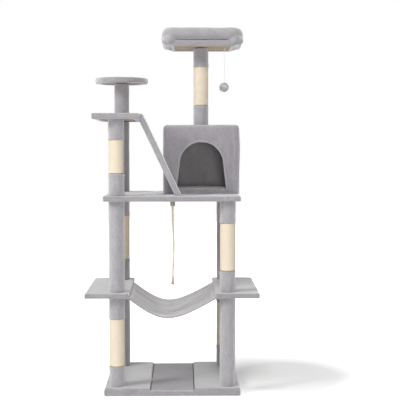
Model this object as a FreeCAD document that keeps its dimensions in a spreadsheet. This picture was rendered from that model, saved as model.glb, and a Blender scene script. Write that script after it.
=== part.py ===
import FreeCAD, Part
import math
import os
import re

# A tall cat tree: a base, two small platforms with a hammock between them, a deck with a
# house on it, two perches, a ramp, a bed on top, and two hanging toys.
# Millimetres, +Z up. The origin is on the floor, under the middle of the whole tree.
# X runs left to right, and Y from front to back. Places in Y are given from the middle of
# the base, and every piece is moved by plan_shift on top of that.

SIZES = {
    # base, deck and their skins
    "base_width": 600,
    "base_depth": 500,
    "base_board": 22,
    "plush": 3.5,
    "hem": 30,
    "mat_width": 196,
    "mat_thick": 2,
    "deck_width": 600,
    "deck_depth": 500,
    "deck_board": 16,
    # posts: cardboard tubes in plush sleeves or sisal wraps
    "post_x": 245,
    "post_y": 190,
    "tube_radius": 30,
    "tube_wall": 4,
    "sleeve_thick": 5,
    "sisal_thick": 4.5,
    "lower_post": 403,
    "middle_post": 403,
    "upper_post": 335,
    "top_post": 155,
    "bed_post": 358,
    "sisal_band": 212,
    "short_band": 148,
    "bed_band": 180,
    "front_band_start": 94,
    "back_band_start": 103,
    "left_middle_start": 98,
    "right_middle_start": 93,
    "upper_band_start": 96,
    "bed_band_start": 91,
    # fasteners
    "plug_thick": 15,
    "fit_gap": 0.2,
    "stud_radius": 4,
    "bolt_length": 35,
    "bolt_head_radius": 9,
    "bolt_head_thick": 5,
    "counterbore": 6,
    "screw_radius": 2,
    "screw_head_radius": 4,
    "screw_head_thick": 2,
    # hammock and its two platforms
    "platform_width": 194,
    "platform_depth": 500,
    "platform_board": 15,
    "hammock_gap": 380,
    "hammock_depth": 460,
    "hammock_drop": 84,
    "hammock_low_x": -20,
    "cloth_thick": 5,
    "flap_gap": 2,
    "hammock_screw_bite": 10,
    # perches
    "perch_width": 206,
    "perch_depth": 500,
    "perch_board": 18,
    "round_radius": 125,
    "round_board": 18,
    # ramp
    "ramp_width": 140,
    "ramp_board": 18,
    "ramp_front": -205,
    "ramp_foot_x": 12,
    "ramp_drop": 35,
    "ramp_screw_inset": 30,
    "ramp_screw_bite": 14,
    # house
    "house_x": 132,
    "house_y": 100,
    "house_width": 348,
    "house_depth": 300,
    "house_height": 315,
    "house_corner": 18,
    "wall_thick": 6,
    "roof_board": 15,
    "house_floor": 20,
    "door_radius": 100,
    "door_height": 237,
    "door_foot": 115,
    "trim_thick": 5,
    "house_screw_bite": 12,
    "house_screw_inset": 100,
    # bed
    "bed_x": 138,
    "bed_board_width": 290,
    "bed_board_depth": 256,
    "bed_board": 20,
    "bolster_width": 376,
    "bolster_depth": 290,
    "bolster_radius": 31,
    "bolster_corner": 62,
    "lobe_radius": 21.5,
    "pad_thick": 26,
    # rope toy
    "collar_radius": 11,
    "collar_height": 38.5,
    "hang_gap": 0.3,
    "knot_radius": 6.5,
    "rope_radius": 5,
    "rope_length": 320,
    "tassel_radius": 9,
    "tassel_length": 38,
    # pompom
    "pompom_x": 243,
    "pompom_y": 130,
    "anchor_radius": 4,
    "anchor_thick": 3,
    "small_knot_radius": 2.5,
    "string_radius": 0.6,
    "string_length": 150,
    "pompom_radius": 23,
}

# Sizes worked out from the ones above. Each is an expression in their names.
DERIVED = {
    "plan_shift": "(base_depth / 2 - post_y - round_radius) / 2",
    "base_top": "base_board + 2 * plush",
    "platform_under": "base_top + lower_post",
    "platform_top": "platform_under + platform_board + 2 * plush",
    "platform_x": "hammock_gap / 2 + platform_width / 2",
    "flap": "post_x - post_radius - flap_gap - hammock_gap / 2",
    "flap_x": "hammock_gap / 2 + flap / 2",
    "deck_under": "platform_top + middle_post",
    "deck_top": "deck_under + deck_board + 2 * plush",
    "perch_under": "deck_top + upper_post",
    "perch_top": "perch_under + perch_board + 2 * plush",
    "perch_side": "perch_width / 2 - post_x",
    "round_under": "perch_top + top_post",
    "round_top": "round_under + round_board + 2 * plush",
    "house_top": "deck_top + house_height",
    "house_front": "house_y - house_depth / 2",
    "inner_corner": "house_corner - plush",
    "bed_under": "house_top + bed_post",
    "bed_top": "bed_under + bed_board + 2 * plush",
    "tube_bore": "tube_radius - tube_wall",
    "post_radius": "tube_radius + sleeve_thick",
    "stud_hole": "stud_radius + fit_gap",
    "screw_hole": "screw_radius + fit_gap",
    "ramp_thick": "ramp_board + 2 * plush",
    "ramp_run": "ramp_foot_x - perch_side",
    "ramp_rise": "perch_top - ramp_drop - deck_top",
    "ramp_slant": "sqrt(ramp_run ^ 2 + ramp_rise ^ 2)",
    "ramp_slice": "ramp_thick * ramp_slant / ramp_rise",
    "door_foot_z": "deck_top + house_floor",
    "door_centre_z": "deck_top + door_height - door_radius",
    "door_side": "door_centre_z - door_foot_z",
    "roof_under": "house_top - plush - roof_board",
    "bed_y": "house_y",
    "collar_under": "deck_under + plush - collar_height",
    "rope_top": "rope_knot_z - knot_radius",
    "anchor_under": "bed_under + plush - anchor_thick",
    "string_top": "small_knot_z - small_knot_radius",
    "knot_seat": "sqrt((knot_radius + hang_gap) ^ 2 - (screw_head_radius + fit_gap) ^ 2)",
    "rope_knot_z": "collar_under - knot_seat",
    "small_knot_z": "anchor_under - hang_gap - small_knot_radius",
}

doc = FreeCAD.newDocument("CatTree")
sheet = doc.addObject("Spreadsheet::Sheet", "Sizes")
for row, (alias, number) in enumerate(SIZES.items(), start=1):
    sheet.set("A%d" % row, alias)
    sheet.set("B%d" % row, str(number))
    sheet.setAlias("B%d" % row, alias)
doc.recompute()

NODES = []
WORD = re.compile(r"[a-z_]+")


def expand(text):
    """An expression in the names above, written out in the sheet's own cells."""
    def swap(match):
        word = match.group(0)
        if word in DERIVED:
            return "(" + expand(DERIVED[word]) + ")"
        return "Sizes." + word if word in SIZES else word
    return WORD.sub(swap, str(text))


def bind(item, **sizes):
    """Bind each named property to an expression."""
    for name, text in sizes.items():
        item.setExpression(name, expand(text))
    return item


def place(item, x, y, z):
    """Bind the item's place, with y counted from the middle of the base."""
    item.setExpression("Placement.Base.x", expand(x))
    item.setExpression("Placement.Base.y", expand("(%s) + plan_shift" % y))
    item.setExpression("Placement.Base.z", expand(z))
    return item


def box(width, depth, height, x, y, z):
    """A box centred on x and y, standing on z."""
    item = bind(doc.addObject("Part::Box", "Box"), Length=width, Width=depth, Height=height)
    return place(item, "(%s) - (%s) / 2" % (x, width), "(%s) - (%s) / 2" % (y, depth), z)


def rod(radius, height, x, y, z, axis=None):
    """A cylinder from x, y, z along +Z, or along another axis."""
    item = bind(doc.addObject("Part::Cylinder", "Rod"), Radius=radius, Height=height)
    if axis:
        item.Placement.Rotation = FreeCAD.Rotation(FreeCAD.Vector(0, 0, 1), FreeCAD.Vector(*axis))
    return place(item, x, y, z)


def ball(radius, x, y, z):
    return place(bind(doc.addObject("Part::Sphere", "Ball"), Radius=radius), x, y, z)


def fuse(*items):
    if len(items) == 1:
        return items[0]
    item = doc.addObject("Part::MultiFuse", "Fuse")
    item.Shapes = list(items)
    return item


def cut(base, *tools):
    item = doc.addObject("Part::Cut", "Cut")
    item.Base = base
    item.Tool = fuse(*tools)
    return item


def common(first, second):
    item = doc.addObject("Part::MultiCommon", "Common")
    item.Shapes = [first, second]
    return item


def group(*items):
    """Separate solids of one kind, kept apart."""
    item = doc.addObject("Part::Compound", "Group")
    item.Links = list(items)
    return item


def node(name, item):
    """Name the item as one piece of the tree."""
    item.Label = name
    NODES.append(item)
    return item


def number(text):
    """The value of an expression, read from a bound property."""
    probe = doc.addObject("Part::Box", "Probe")
    probe.setExpression("Placement.Base.x", expand(text))
    probe.recompute()
    amount = probe.Placement.Base.x
    doc.removeObject(probe.Name)
    return amount


def round_edges(item, radius, chosen):
    """Round the edges of an item's shape that chosen picks."""
    doc.recompute()
    fillet = doc.addObject("Part::Fillet", "Fillet")
    fillet.Base = item
    size = number(radius)
    picked = [i for i, edge in enumerate(item.Shape.Edges, start=1) if chosen(edge)]
    fillet.Edges = [(i, size, size) for i in picked]
    return fillet


def upright(edge):
    return abs(edge.tangentAt(edge.FirstParameter).z) > 0.99


def level_above(height):
    return lambda edge: min(v.Z for v in edge.Vertexes) > height


# ---- posts ----------------------------------------------------------------------------

# name, x, y, foot, length, sisal band's start above the foot and its length
POSTS = [
    ("front_left_lower", "-post_x", "-post_y", "base_top", "lower_post",
     "front_band_start", "sisal_band"),
    ("front_right_lower", "post_x", "-post_y", "base_top", "lower_post", None, None),
    ("back_left_lower", "-post_x", "post_y", "base_top", "lower_post", None, None),
    ("back_right_lower", "post_x", "post_y", "base_top", "lower_post",
     "back_band_start", "sisal_band"),
    ("front_left_middle", "-post_x", "-post_y", "platform_top", "middle_post", None, None),
    ("front_right_middle", "post_x", "-post_y", "platform_top", "middle_post",
     "right_middle_start", "sisal_band"),
    ("back_left_middle", "-post_x", "post_y", "platform_top", "middle_post",
     "left_middle_start", "sisal_band"),
    ("back_right_middle", "post_x", "post_y", "platform_top", "middle_post", None, None),
    ("front_left_upper", "-post_x", "-post_y", "deck_top", "upper_post",
     "upper_band_start", "short_band"),
    ("back_left_upper", "-post_x", "post_y", "deck_top", "upper_post", None, None),
    ("top_left", "-post_x", "post_y", "perch_top", "top_post", None, None),
    ("bed", "house_x", "house_y", "house_top", "bed_post", "bed_band_start", "bed_band"),
]


def ring(outer, inner, height, x, y, z):
    return cut(rod(outer, height, x, y, z), rod(inner, height, x, y, z))


def plug(x, y, z):
    return ring("tube_bore - fit_gap", "stud_hole", "plug_thick", x, y, z)


long_tubes, upper_tubes, plugs = [], [], []
for name, x, y, foot, length, start, band in POSTS:
    tube = ring("tube_radius", "tube_bore", length, x, y, foot)
    (long_tubes if length in ("lower_post", "middle_post") else upper_tubes).append(tube)
    plugs.append(plug(x, y, foot))
    plugs.append(plug(x, y, "%s + %s - plug_thick" % (foot, length)))
    sleeve = ring("post_radius", "tube_radius", length, x, y, foot)
    if band:
        band_foot = "%s + %s" % (foot, start)
        sleeve = cut(sleeve, rod("post_radius + plush", band, x, y, band_foot))
        wrap = ring("tube_radius + sisal_thick", "tube_radius", band, x, y, band_foot)
        node("%s_sisal_wrap" % name, wrap)
    node("%s_post_sleeve" % name, sleeve)
node("long_post_tubes", group(*long_tubes))
node("upper_post_tubes", group(*upper_tubes))
node("tube_end_plugs", group(*plugs))


# ---- fasteners ------------------------------------------------------------------------

def bolt(x, y, z, up):
    """A bolt whose head's inner face is at z, with its shank going up or down."""
    axis = (0, 0, 1) if up else (0, 0, -1)
    shank = rod("stud_radius", "bolt_length", x, y, z, axis)
    head_foot = "%s - bolt_head_thick" % z if up else z
    return fuse(shank, rod("bolt_head_radius", "bolt_head_thick", x, y, head_foot))


def stud(x, y, under, top):
    """A threaded stud through a board, into the plugs of the posts below and above it."""
    length = "%s - %s + 2 * plug_thick" % (top, under)
    return rod("stud_radius", length, x, y, "%s - plug_thick" % under)


def bolt_hole(x, y, z, height):
    return rod("stud_hole", height, x, y, z)


def head_hole(x, y, z, height):
    return rod("bolt_head_radius + fit_gap", height, x, y, z)


def screw(x, y, z, length):
    """A wood screw going up from z, with its head below."""
    head = rod("screw_head_radius", "screw_head_thick", x, y, "%s - screw_head_thick" % z)
    return fuse(head, rod("screw_radius", length, x, y, z))


def pilot(x, y, z, height):
    return rod("screw_hole", height, x, y, z)


CORNERS = [(x, y) for x in ("-post_x", "post_x") for y in ("-post_y", "post_y")]
LEFT = [("-post_x", "-post_y"), ("-post_x", "post_y")]
RIGHT = [("post_x", "-post_y"), ("post_x", "post_y")]

studs = [stud(x, y, "platform_under", "platform_top") for x, y in CORNERS]
studs += [stud(x, y, "deck_under", "deck_top") for x, y in LEFT]
studs.append(stud("-post_x", "post_y", "perch_under", "perch_top"))
node("connecting_studs", group(*studs))

bolts = [bolt(x, y, "plush + counterbore", True) for x, y in CORNERS]
bolts += [bolt(x, y, "deck_top - bolt_head_thick", False) for x, y in RIGHT]
bolts.append(bolt("-post_x", "-post_y", "perch_top - bolt_head_thick", False))
bolts.append(bolt("-post_x", "post_y", "round_top - bolt_head_thick", False))
bolts.append(bolt("house_x", "house_y", "roof_under", True))
bolts.append(bolt("house_x", "house_y", "bed_top - bolt_head_thick", False))
node("post_bolts", group(*bolts))


# ---- boards in their plush covers ------------------------------------------------------

def covered_board(name, width, depth, board, x, y, z, holes):
    """A flat board and the plush skin wrapped round it, open in the middle underneath."""
    inner_width = "%s - 2 * plush" % width
    inner_depth = "%s - 2 * plush" % depth
    solid = box(inner_width, inner_depth, board, x, y, "%s + plush" % z)
    skin = box(width, depth, "%s + 2 * plush" % board, x, y, z)
    hollow = box(inner_width, inner_depth, board, x, y, "%s + plush" % z)
    opening = box("%s - 2 * hem" % width, "%s - 2 * hem" % depth, "2 * plush",
                  x, y, "%s - plush" % z)
    node("%s_board" % name, cut(solid, *holes()) if holes() else solid)
    return cut(skin, hollow, opening, *holes())


def through(spots, under, top):
    return [bolt_hole(x, y, under, "%s - %s" % (top, under)) for x, y in spots]


# base: bolts come up from counterbores underneath
def base_holes():
    heads = [head_hole(x, y, "plush", "counterbore") for x, y in CORNERS]
    return heads + through(CORNERS, "0", "base_top")


base_cover = covered_board("base", "base_width", "base_depth", "base_board",
                           "0", "0", "0", base_holes)
mat_slot = box("mat_width", "base_depth - 2 * plush", "2 * plush", "0", "0", "base_top - plush")
node("base_cover", cut(base_cover, mat_slot))
node("base_mat", box("mat_width - 2 * fit_gap", "base_depth - 2 * plush - 2 * fit_gap", "mat_thick",
                     "0", "0", "base_top - plush"))

# hammock platforms, one on each side
screw_rows = ["hammock_depth * %s / 12" % share for share in (-5, -2, 2, 5)]
hammock_screws = []


def platform_holes(posts, flap_x):
    pilots = [pilot(flap_x, row, "platform_under", "plush + hammock_screw_bite")
              for row in screw_rows]
    return pilots + through(posts, "platform_under", "platform_top")


for side, sign, posts in (("left", "-", LEFT), ("right", "", RIGHT)):
    flap_x = "%s(flap_x)" % sign
    cover = covered_board("%s_hammock" % side, "platform_width", "platform_depth", "platform_board",
                          "%s(platform_x)" % sign, "0", "platform_under",
                          lambda: platform_holes(posts, flap_x))
    node("%s_hammock_cover" % side, cover)
    hammock_screws += [screw(flap_x, row, "platform_under - cloth_thick",
                             "cloth_thick + plush + hammock_screw_bite") for row in screw_rows]

# deck: studs on the left, bolts from above on the right, screws up into the house and ramp
screw_dx = "(house_width / 2 - house_screw_inset)"
screw_dy = "(house_depth / 2 - house_screw_inset)"
house_spots = [("house_x %s %s" % (sx, screw_dx), "house_y %s %s" % (sy, screw_dy))
               for sx in "-+" for sy in "-+"]
ramp_screw_x = "ramp_foot_x + ramp_slice / 2 - ramp_screw_bite * ramp_run / ramp_rise / 2"
ramp_spots = [(ramp_screw_x, "ramp_front + ramp_screw_inset"),
              (ramp_screw_x, "ramp_front + ramp_width - ramp_screw_inset")]
collar_spot = ("0", "0")


def deck_holes():
    heads = [head_hole(x, y, "deck_top - bolt_head_thick", "bolt_head_thick") for x, y in RIGHT]
    screws = [pilot(x, y, "deck_under", "deck_top - deck_under")
              for x, y in house_spots + ramp_spots + [collar_spot]]
    return heads + screws + through(CORNERS, "deck_under", "deck_top")


deck_cover = covered_board("deck", "deck_width", "deck_depth", "deck_board", "0", "0",
                           "deck_under", deck_holes)
node("deck_cover", deck_cover)


# long perch on the two left posts
def perch_holes():
    head = head_hole("-post_x", "-post_y", "perch_top - bolt_head_thick", "bolt_head_thick")
    return [head] + through(LEFT, "perch_under", "perch_top")


perch_cover = covered_board("perch", "perch_width", "perch_depth", "perch_board", "-post_x", "0",
                            "perch_under", perch_holes)
node("perch_cover", perch_cover)


# round perch on the top post
def round_holes():
    head = head_hole("-post_x", "post_y", "round_top - bolt_head_thick", "bolt_head_thick")
    return [head] + through([("-post_x", "post_y")], "round_under", "round_top")


def round_rod(radius, height, z):
    return rod(radius, height, "-post_x", "post_y", z)


round_disc, round_hollow = [round_rod("round_radius - plush", "round_board", "round_under + plush")
                            for _ in range(2)]
round_skin = round_rod("round_radius", "round_board + 2 * plush", "round_under")
round_opening = round_rod("round_radius - hem", "2 * plush", "round_under - plush")
node("round_perch_board", cut(round_disc, *round_holes()))
node("round_perch_cover", cut(round_skin, round_hollow, round_opening, *round_holes()))


# ---- ramp -----------------------------------------------------------------------------

def slanted(thick, width, inset):
    """A leaning slab, cut off level at the deck and plumb at the perch's side."""
    slab = bind(doc.addObject("Part::Box", "Slab"), Length=thick, Width=width,
                Height="2 * ramp_slant")
    slab.Placement.Rotation = FreeCAD.Rotation(FreeCAD.Vector(0, 1, 0), 0)
    slab.setExpression("Placement.Rotation.Angle", expand("-atan2(ramp_run; ramp_rise)"))
    start_x = "ramp_foot_x + %s * ramp_rise / ramp_slant + ramp_run / 2" % inset
    start_z = "deck_top + %s * ramp_run / ramp_slant - ramp_rise / 2" % inset
    place(slab, start_x, "ramp_front + %s" % inset, start_z)
    room_width = "ramp_run + ramp_slice"
    room = bind(doc.addObject("Part::Box", "Room"), Length=room_width, Width=width,
                Height="perch_top - deck_top - 2 * %s" % inset)
    place(room, "perch_side + %s" % inset, "ramp_front + %s" % inset, "deck_top + %s" % inset)
    return common(slab, room)


def ramp_pilots():
    return [pilot(x, y, "deck_top", "ramp_screw_bite") for x, y in ramp_spots]


def ramp_plank():
    return slanted("ramp_board", "ramp_width - 2 * plush", "plush")


node("ramp_board", cut(ramp_plank(), *ramp_pilots()))
node("ramp_cover", cut(slanted("ramp_thick", "ramp_width", "0"), ramp_plank(), *ramp_pilots()))


# ---- house ----------------------------------------------------------------------------

def rounded_box(inset, foot, top, corner, top_too=False):
    """A box with round upright corners, and top edges too, this far inside the house's faces."""
    block = box("house_width - 2 * (%s)" % inset, "house_depth - 2 * (%s)" % inset,
                "%s - (%s)" % (top, foot), "house_x", "house_y", foot)
    above = level_above(number(foot) + 1)
    if top_too:
        return round_edges(block, corner, lambda edge: upright(edge) or above(edge))
    return round_edges(block, corner, upright)


def arch(margin, start_y, depth):
    """A prism of the doorway, grown by a margin: a round top over sides that flare."""
    radius = "(door_radius + %s)" % margin
    half_foot = "(door_foot + %s)" % margin
    reach = "sqrt(%s ^ 2 + door_side ^ 2)" % half_foot
    angle = "(acos(%s / %s) - atan(door_side / %s))" % (radius, reach, half_foot)
    round_top = rod(radius, depth, "house_x", start_y, "door_centre_z", (0, 1, 0))
    legs = doc.addObject("Part::Wedge", "Legs")
    shoulder = "%s * cos(%s)" % (radius, angle)
    bind(legs, Xmin="-" + half_foot, Xmax=half_foot, X2min="-" + shoulder, X2max=shoulder,
         Ymin="0", Ymax="door_side + %s * sin(%s)" % (radius, angle),
         Zmin="0", Zmax=depth, Z2min="0", Z2max=depth)
    # the wedge's own Y is turned to stand up
    legs.Placement.Rotation = FreeCAD.Rotation(FreeCAD.Vector(1, 0, 0), 90)
    place(legs, "house_x", "%s + %s" % (start_y, depth), "door_foot_z")
    return fuse(round_top, legs)


outer = rounded_box("0", "deck_top", "house_top", "house_corner", True)
inner = rounded_box("plush", "deck_top - plush", "house_top - plush", "inner_corner", True)
roof_hole = bolt_hole("house_x", "house_y", "roof_under", "house_top - roof_under")


def doorway(margin):
    """What the doorway, grown by a margin, takes out of the front."""
    return arch(margin, "house_front - plush", "plush + house_corner")


node("house_cover", cut(outer, inner, roof_hole, doorway("trim_thick")))
trim = arch("trim_thick", "house_front", "plush + wall_thick")
node("house_door_trim", cut(trim, doorway("0")))


def wall(name, width, depth, x, y, *holes):
    """The part of the wall ring that lies in a box."""
    ring_out = rounded_box("plush", "deck_top", "roof_under", "inner_corner")
    ring_in = rounded_box("plush + wall_thick", "deck_top - plush", "roof_under + plush",
                          "inner_corner - wall_thick")
    part = common(cut(ring_out, ring_in), box(width, depth, "house_height", x, y, "deck_top"))
    node(name, cut(part, *holes) if holes else part)


wall_x = "(house_width / 2 - house_corner / 2)"
wall_y = "(house_depth / 2 - house_corner / 2)"
side_depth = "house_depth - 2 * house_corner"
wall("house_front_wall", "house_width", "house_corner", "house_x", "house_y - " + wall_y,
     doorway("trim_thick"))
wall("house_back_wall", "house_width", "house_corner", "house_x", "house_y + " + wall_y)
wall("house_left_wall", "house_corner", side_depth, "house_x - " + wall_x, "house_y")
wall("house_right_wall", "house_corner", side_depth, "house_x + " + wall_x, "house_y")
roof = rounded_box("plush", "roof_under", "house_top - plush", "inner_corner", True)
node("house_roof_board", cut(roof, bolt_hole("house_x", "house_y", "roof_under", "roof_board")))
floor = rounded_box("plush + wall_thick", "deck_top", "deck_top + house_floor",
                    "inner_corner - wall_thick")
node("house_floor_board", cut(floor, *[pilot(x, y, "deck_top", "house_screw_bite")
                                       for x, y in house_spots]))


# ---- bed ------------------------------------------------------------------------------

bed_bolt_spot = [("house_x", "house_y")]


def bed_holes():
    head = head_hole("house_x", "house_y", "bed_top - bolt_head_thick", "bolt_head_thick")
    return [head] + through(bed_bolt_spot, "bed_under", "bed_top")


bed_cover = covered_board("bed", "bed_board_width", "bed_board_depth", "bed_board",
                          "bed_x", "bed_y", "bed_under", bed_holes)
node("bed_cover", bed_cover)

roll_z = "bed_top + bolster_radius"
roll_x = "(bolster_width / 2 - bolster_radius)"
roll_y = "(bolster_depth / 2 - bolster_radius)"
turn = "(bolster_corner - bolster_radius)"
straight_x = "(%s - %s)" % (roll_x, turn)
straight_y = "(%s - %s)" % (roll_y, turn)
lobe_y = "(bed_board_depth / 2 - lobe_radius)"
lobe_z = "bed_under + lobe_radius"
rolls = []
for sign in "-+":
    rolls.append(rod("bolster_radius", "2 * " + straight_x, "bed_x - " + straight_x,
                     "bed_y %s %s" % (sign, roll_y), roll_z, (1, 0, 0)))
    rolls.append(rod("bolster_radius", "2 * " + straight_y, "bed_x %s %s" % (sign, roll_x),
                     "bed_y - " + straight_y, roll_z, (0, 1, 0)))
    # a stuffed lobe hangs down beside the board, at each end
    lobe_x = "bed_x %s (bed_board_width / 2 + lobe_radius)" % sign
    rolls.append(rod("lobe_radius", "2 * " + lobe_y, lobe_x, "bed_y - " + lobe_y, lobe_z,
                     (0, 1, 0)))
    rolls += [ball("lobe_radius", lobe_x, "bed_y %s %s" % (end, lobe_y), lobe_z) for end in "-+"]
for quarter, (sx, sy) in enumerate([("+", "+"), ("-", "+"), ("-", "-"), ("+", "-")]):
    bend = bind(doc.addObject("Part::Torus", "Bend"), Radius1=turn, Radius2="bolster_radius")
    bend.Angle3 = 90
    bend.Placement.Rotation = FreeCAD.Rotation(FreeCAD.Vector(0, 0, 1), 90 * quarter)
    rolls.append(place(bend, "bed_x %s %s" % (sx, straight_x), "bed_y %s %s" % (sy, straight_y),
                       roll_z))
node("bed_bolster", fuse(*rolls))
pad_width, pad_depth = ["%s - 4 * bolster_radius - 2 * hang_gap" % outside
                        for outside in ("bolster_width", "bolster_depth")]
pad = box(pad_width, pad_depth, "pad_thick", "bed_x", "bed_y", "bed_top")
node("bed_pad", round_edges(pad, turn, upright))


# ---- hammock --------------------------------------------------------------------------

def hammock_profile():
    """The cloth's outline seen from the front, with z = 0 at the platforms' undersides."""
    half = number("hammock_gap / 2")
    thick = number("cloth_thick")
    drop = number("hammock_drop")
    low_x = number("hammock_low_x")
    flap_end = half + number("flap")
    point = FreeCAD.Vector
    low_z = -thick / 2 - drop

    def swing(end_x, offset, z):
        """Where the arc from the low point, offset outward, crosses a level, and its middle."""
        run = end_x - low_x
        radius = (run * run + drop * drop) / (2 * drop)
        centre_z = low_z + radius
        reach = radius + offset
        side = math.copysign(1, run)
        cross = low_x + side * math.sqrt(reach ** 2 - (centre_z - z) ** 2)
        lean = math.atan2(abs(cross - low_x), centre_z - z) / 2
        middle = point(low_x + side * reach * math.sin(lean), 0, centre_z - reach * math.cos(lean))
        return point(cross, 0, z), middle

    edges = []
    for offset, z in ((thick / 2, -thick), (-thick / 2, 0)):
        low = point(low_x, 0, low_z - offset)
        left, left_middle = swing(-half, offset, z)
        right, right_middle = swing(half, offset, z)
        edges += [Part.LineSegment(point(-flap_end, 0, z), left).toShape(),
                  Part.Arc(left, left_middle, low).toShape(),
                  Part.Arc(low, right_middle, right).toShape(),
                  Part.LineSegment(right, point(flap_end, 0, z)).toShape()]
    for end in (-flap_end, flap_end):
        edges.append(Part.LineSegment(point(end, 0, -thick), point(end, 0, 0)).toShape())
    return Part.Face(Part.Wire(Part.__sortEdges__(edges)))


cloth = doc.addObject("Part::Feature", "Cloth")
cloth.Shape = hammock_profile().extrude(FreeCAD.Vector(0, number("hammock_depth"), 0))
place(cloth, "0", "-hammock_depth / 2", "platform_under")
cloth_pilots = [pilot("%s(flap_x)" % sign, row, "platform_under - cloth_thick", "cloth_thick")
                for sign in ("-", "") for row in screw_rows]
node("hammock_cloth", cut(cloth, *cloth_pilots))


# ---- screws ---------------------------------------------------------------------------

deck_screw_z = "deck_under + plush"
screws = hammock_screws
for spots, bite in ((house_spots, "house_screw_bite"), (ramp_spots, "ramp_screw_bite")):
    length = "deck_board + plush + " + bite
    screws += [screw(x, y, deck_screw_z, length) for x, y in spots]
screws.append(screw(*collar_spot, "collar_under + collar_height / 2",
                    "collar_height / 2 + deck_board / 2"))
node("wood_screws", group(*screws))


# ---- hanging toys ---------------------------------------------------------------------

collar = rod("collar_radius", "collar_height", "0", "0", "collar_under")
collar_bore = rod("screw_head_radius + fit_gap", "collar_height / 2", "0", "0", "collar_under")
node("rope_collar", cut(collar, pilot("0", "0", "collar_under", "collar_height"), collar_bore))
node("rope_knot", ball("knot_radius", "0", "0", "rope_knot_z"))
node("toy_rope", rod("rope_radius", "rope_length", "0", "0", "rope_top - rope_length"))
tassel = bind(doc.addObject("Part::Cone", "Tassel"), Radius1="tassel_radius", Radius2="rope_radius",
              Height="tassel_length")
node("rope_tassel", place(tassel, "0", "0", "rope_top - rope_length - tassel_length"))

node("pompom_anchor", rod("anchor_radius", "anchor_thick", "pompom_x", "pompom_y", "anchor_under"))
node("pompom_knot", ball("small_knot_radius", "pompom_x", "pompom_y", "small_knot_z"))
node("pompom_string", rod("string_radius", "string_length", "pompom_x", "pompom_y",
                          "string_top - string_length"))
node("pompom", ball("pompom_radius", "pompom_x", "pompom_y",
                    "string_top - string_length - pompom_radius"))


# ---- check and write ------------------------------------------------------------------

doc.recompute()
faults = [item.Label for item in doc.Objects if "Invalid" in item.State or "Error" in item.State]
faults += [item.Label for item in NODES if item.Shape.isNull() or not item.Shape.isValid()]
if faults:
    raise RuntimeError("these pieces failed: %s" % ", ".join(faults))

os.makedirs("parts", exist_ok=True)
for item in NODES:
    item.Shape.exportStep("parts/%s.step" % item.Label)
    volume = item.Shape.Volume / 1000
    print("%-30s %3d solids %10.1f cm3" % (item.Label, len(item.Shape.Solids), volume))
print("%d pieces" % len(NODES))
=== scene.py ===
"""Looks of the cat tree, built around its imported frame.

Each sub-assembly is a class. Its pieces are bmesh shapes with procedural finishes, placed
from the frame's own boxes, in metres, with +Z up and -Y towards the front.
"""

import bisect
import itertools
import logging
import math
from collections.abc import Callable, Iterable
from dataclasses import dataclass, field
from enum import Enum

import bmesh
import bpy
from mathutils import Matrix, Vector, noise

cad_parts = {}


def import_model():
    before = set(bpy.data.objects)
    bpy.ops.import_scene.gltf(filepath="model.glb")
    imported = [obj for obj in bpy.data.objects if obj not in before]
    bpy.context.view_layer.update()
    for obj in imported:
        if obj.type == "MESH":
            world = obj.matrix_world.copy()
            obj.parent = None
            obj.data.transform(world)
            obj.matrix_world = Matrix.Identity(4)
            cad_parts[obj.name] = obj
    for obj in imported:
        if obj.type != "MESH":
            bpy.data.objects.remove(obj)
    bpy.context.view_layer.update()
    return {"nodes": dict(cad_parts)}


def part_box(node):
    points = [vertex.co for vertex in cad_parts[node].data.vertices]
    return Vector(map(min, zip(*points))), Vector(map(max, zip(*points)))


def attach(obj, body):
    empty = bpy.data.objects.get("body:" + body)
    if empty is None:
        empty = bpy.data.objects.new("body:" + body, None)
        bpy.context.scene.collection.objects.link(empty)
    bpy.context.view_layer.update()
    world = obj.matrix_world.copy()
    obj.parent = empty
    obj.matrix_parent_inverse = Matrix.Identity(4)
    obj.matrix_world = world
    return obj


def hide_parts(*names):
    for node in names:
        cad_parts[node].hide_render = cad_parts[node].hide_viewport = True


LOG = logging.getLogger("cat_tree")
FRAME_BODY = "frame"
ROPE_BODY = "rope_toy"
ROPE_LINK = "rope_link"
POMPOM_BODY = "pompom_toy"
POMPOM_LINK = "pompom_link"
UP = Vector((0.0, 0.0, 1.0))
WHITE = (1.0, 1.0, 1.0, 1.0)

Mesh = bmesh.types.BMesh
Edges = list[bmesh.types.BMEdge]
Thing = bpy.types.Object
Socket = bpy.types.NodeSocket
Colour = tuple[float, float, float]


# ---- shader building ----------------------------------------------------------------


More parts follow.
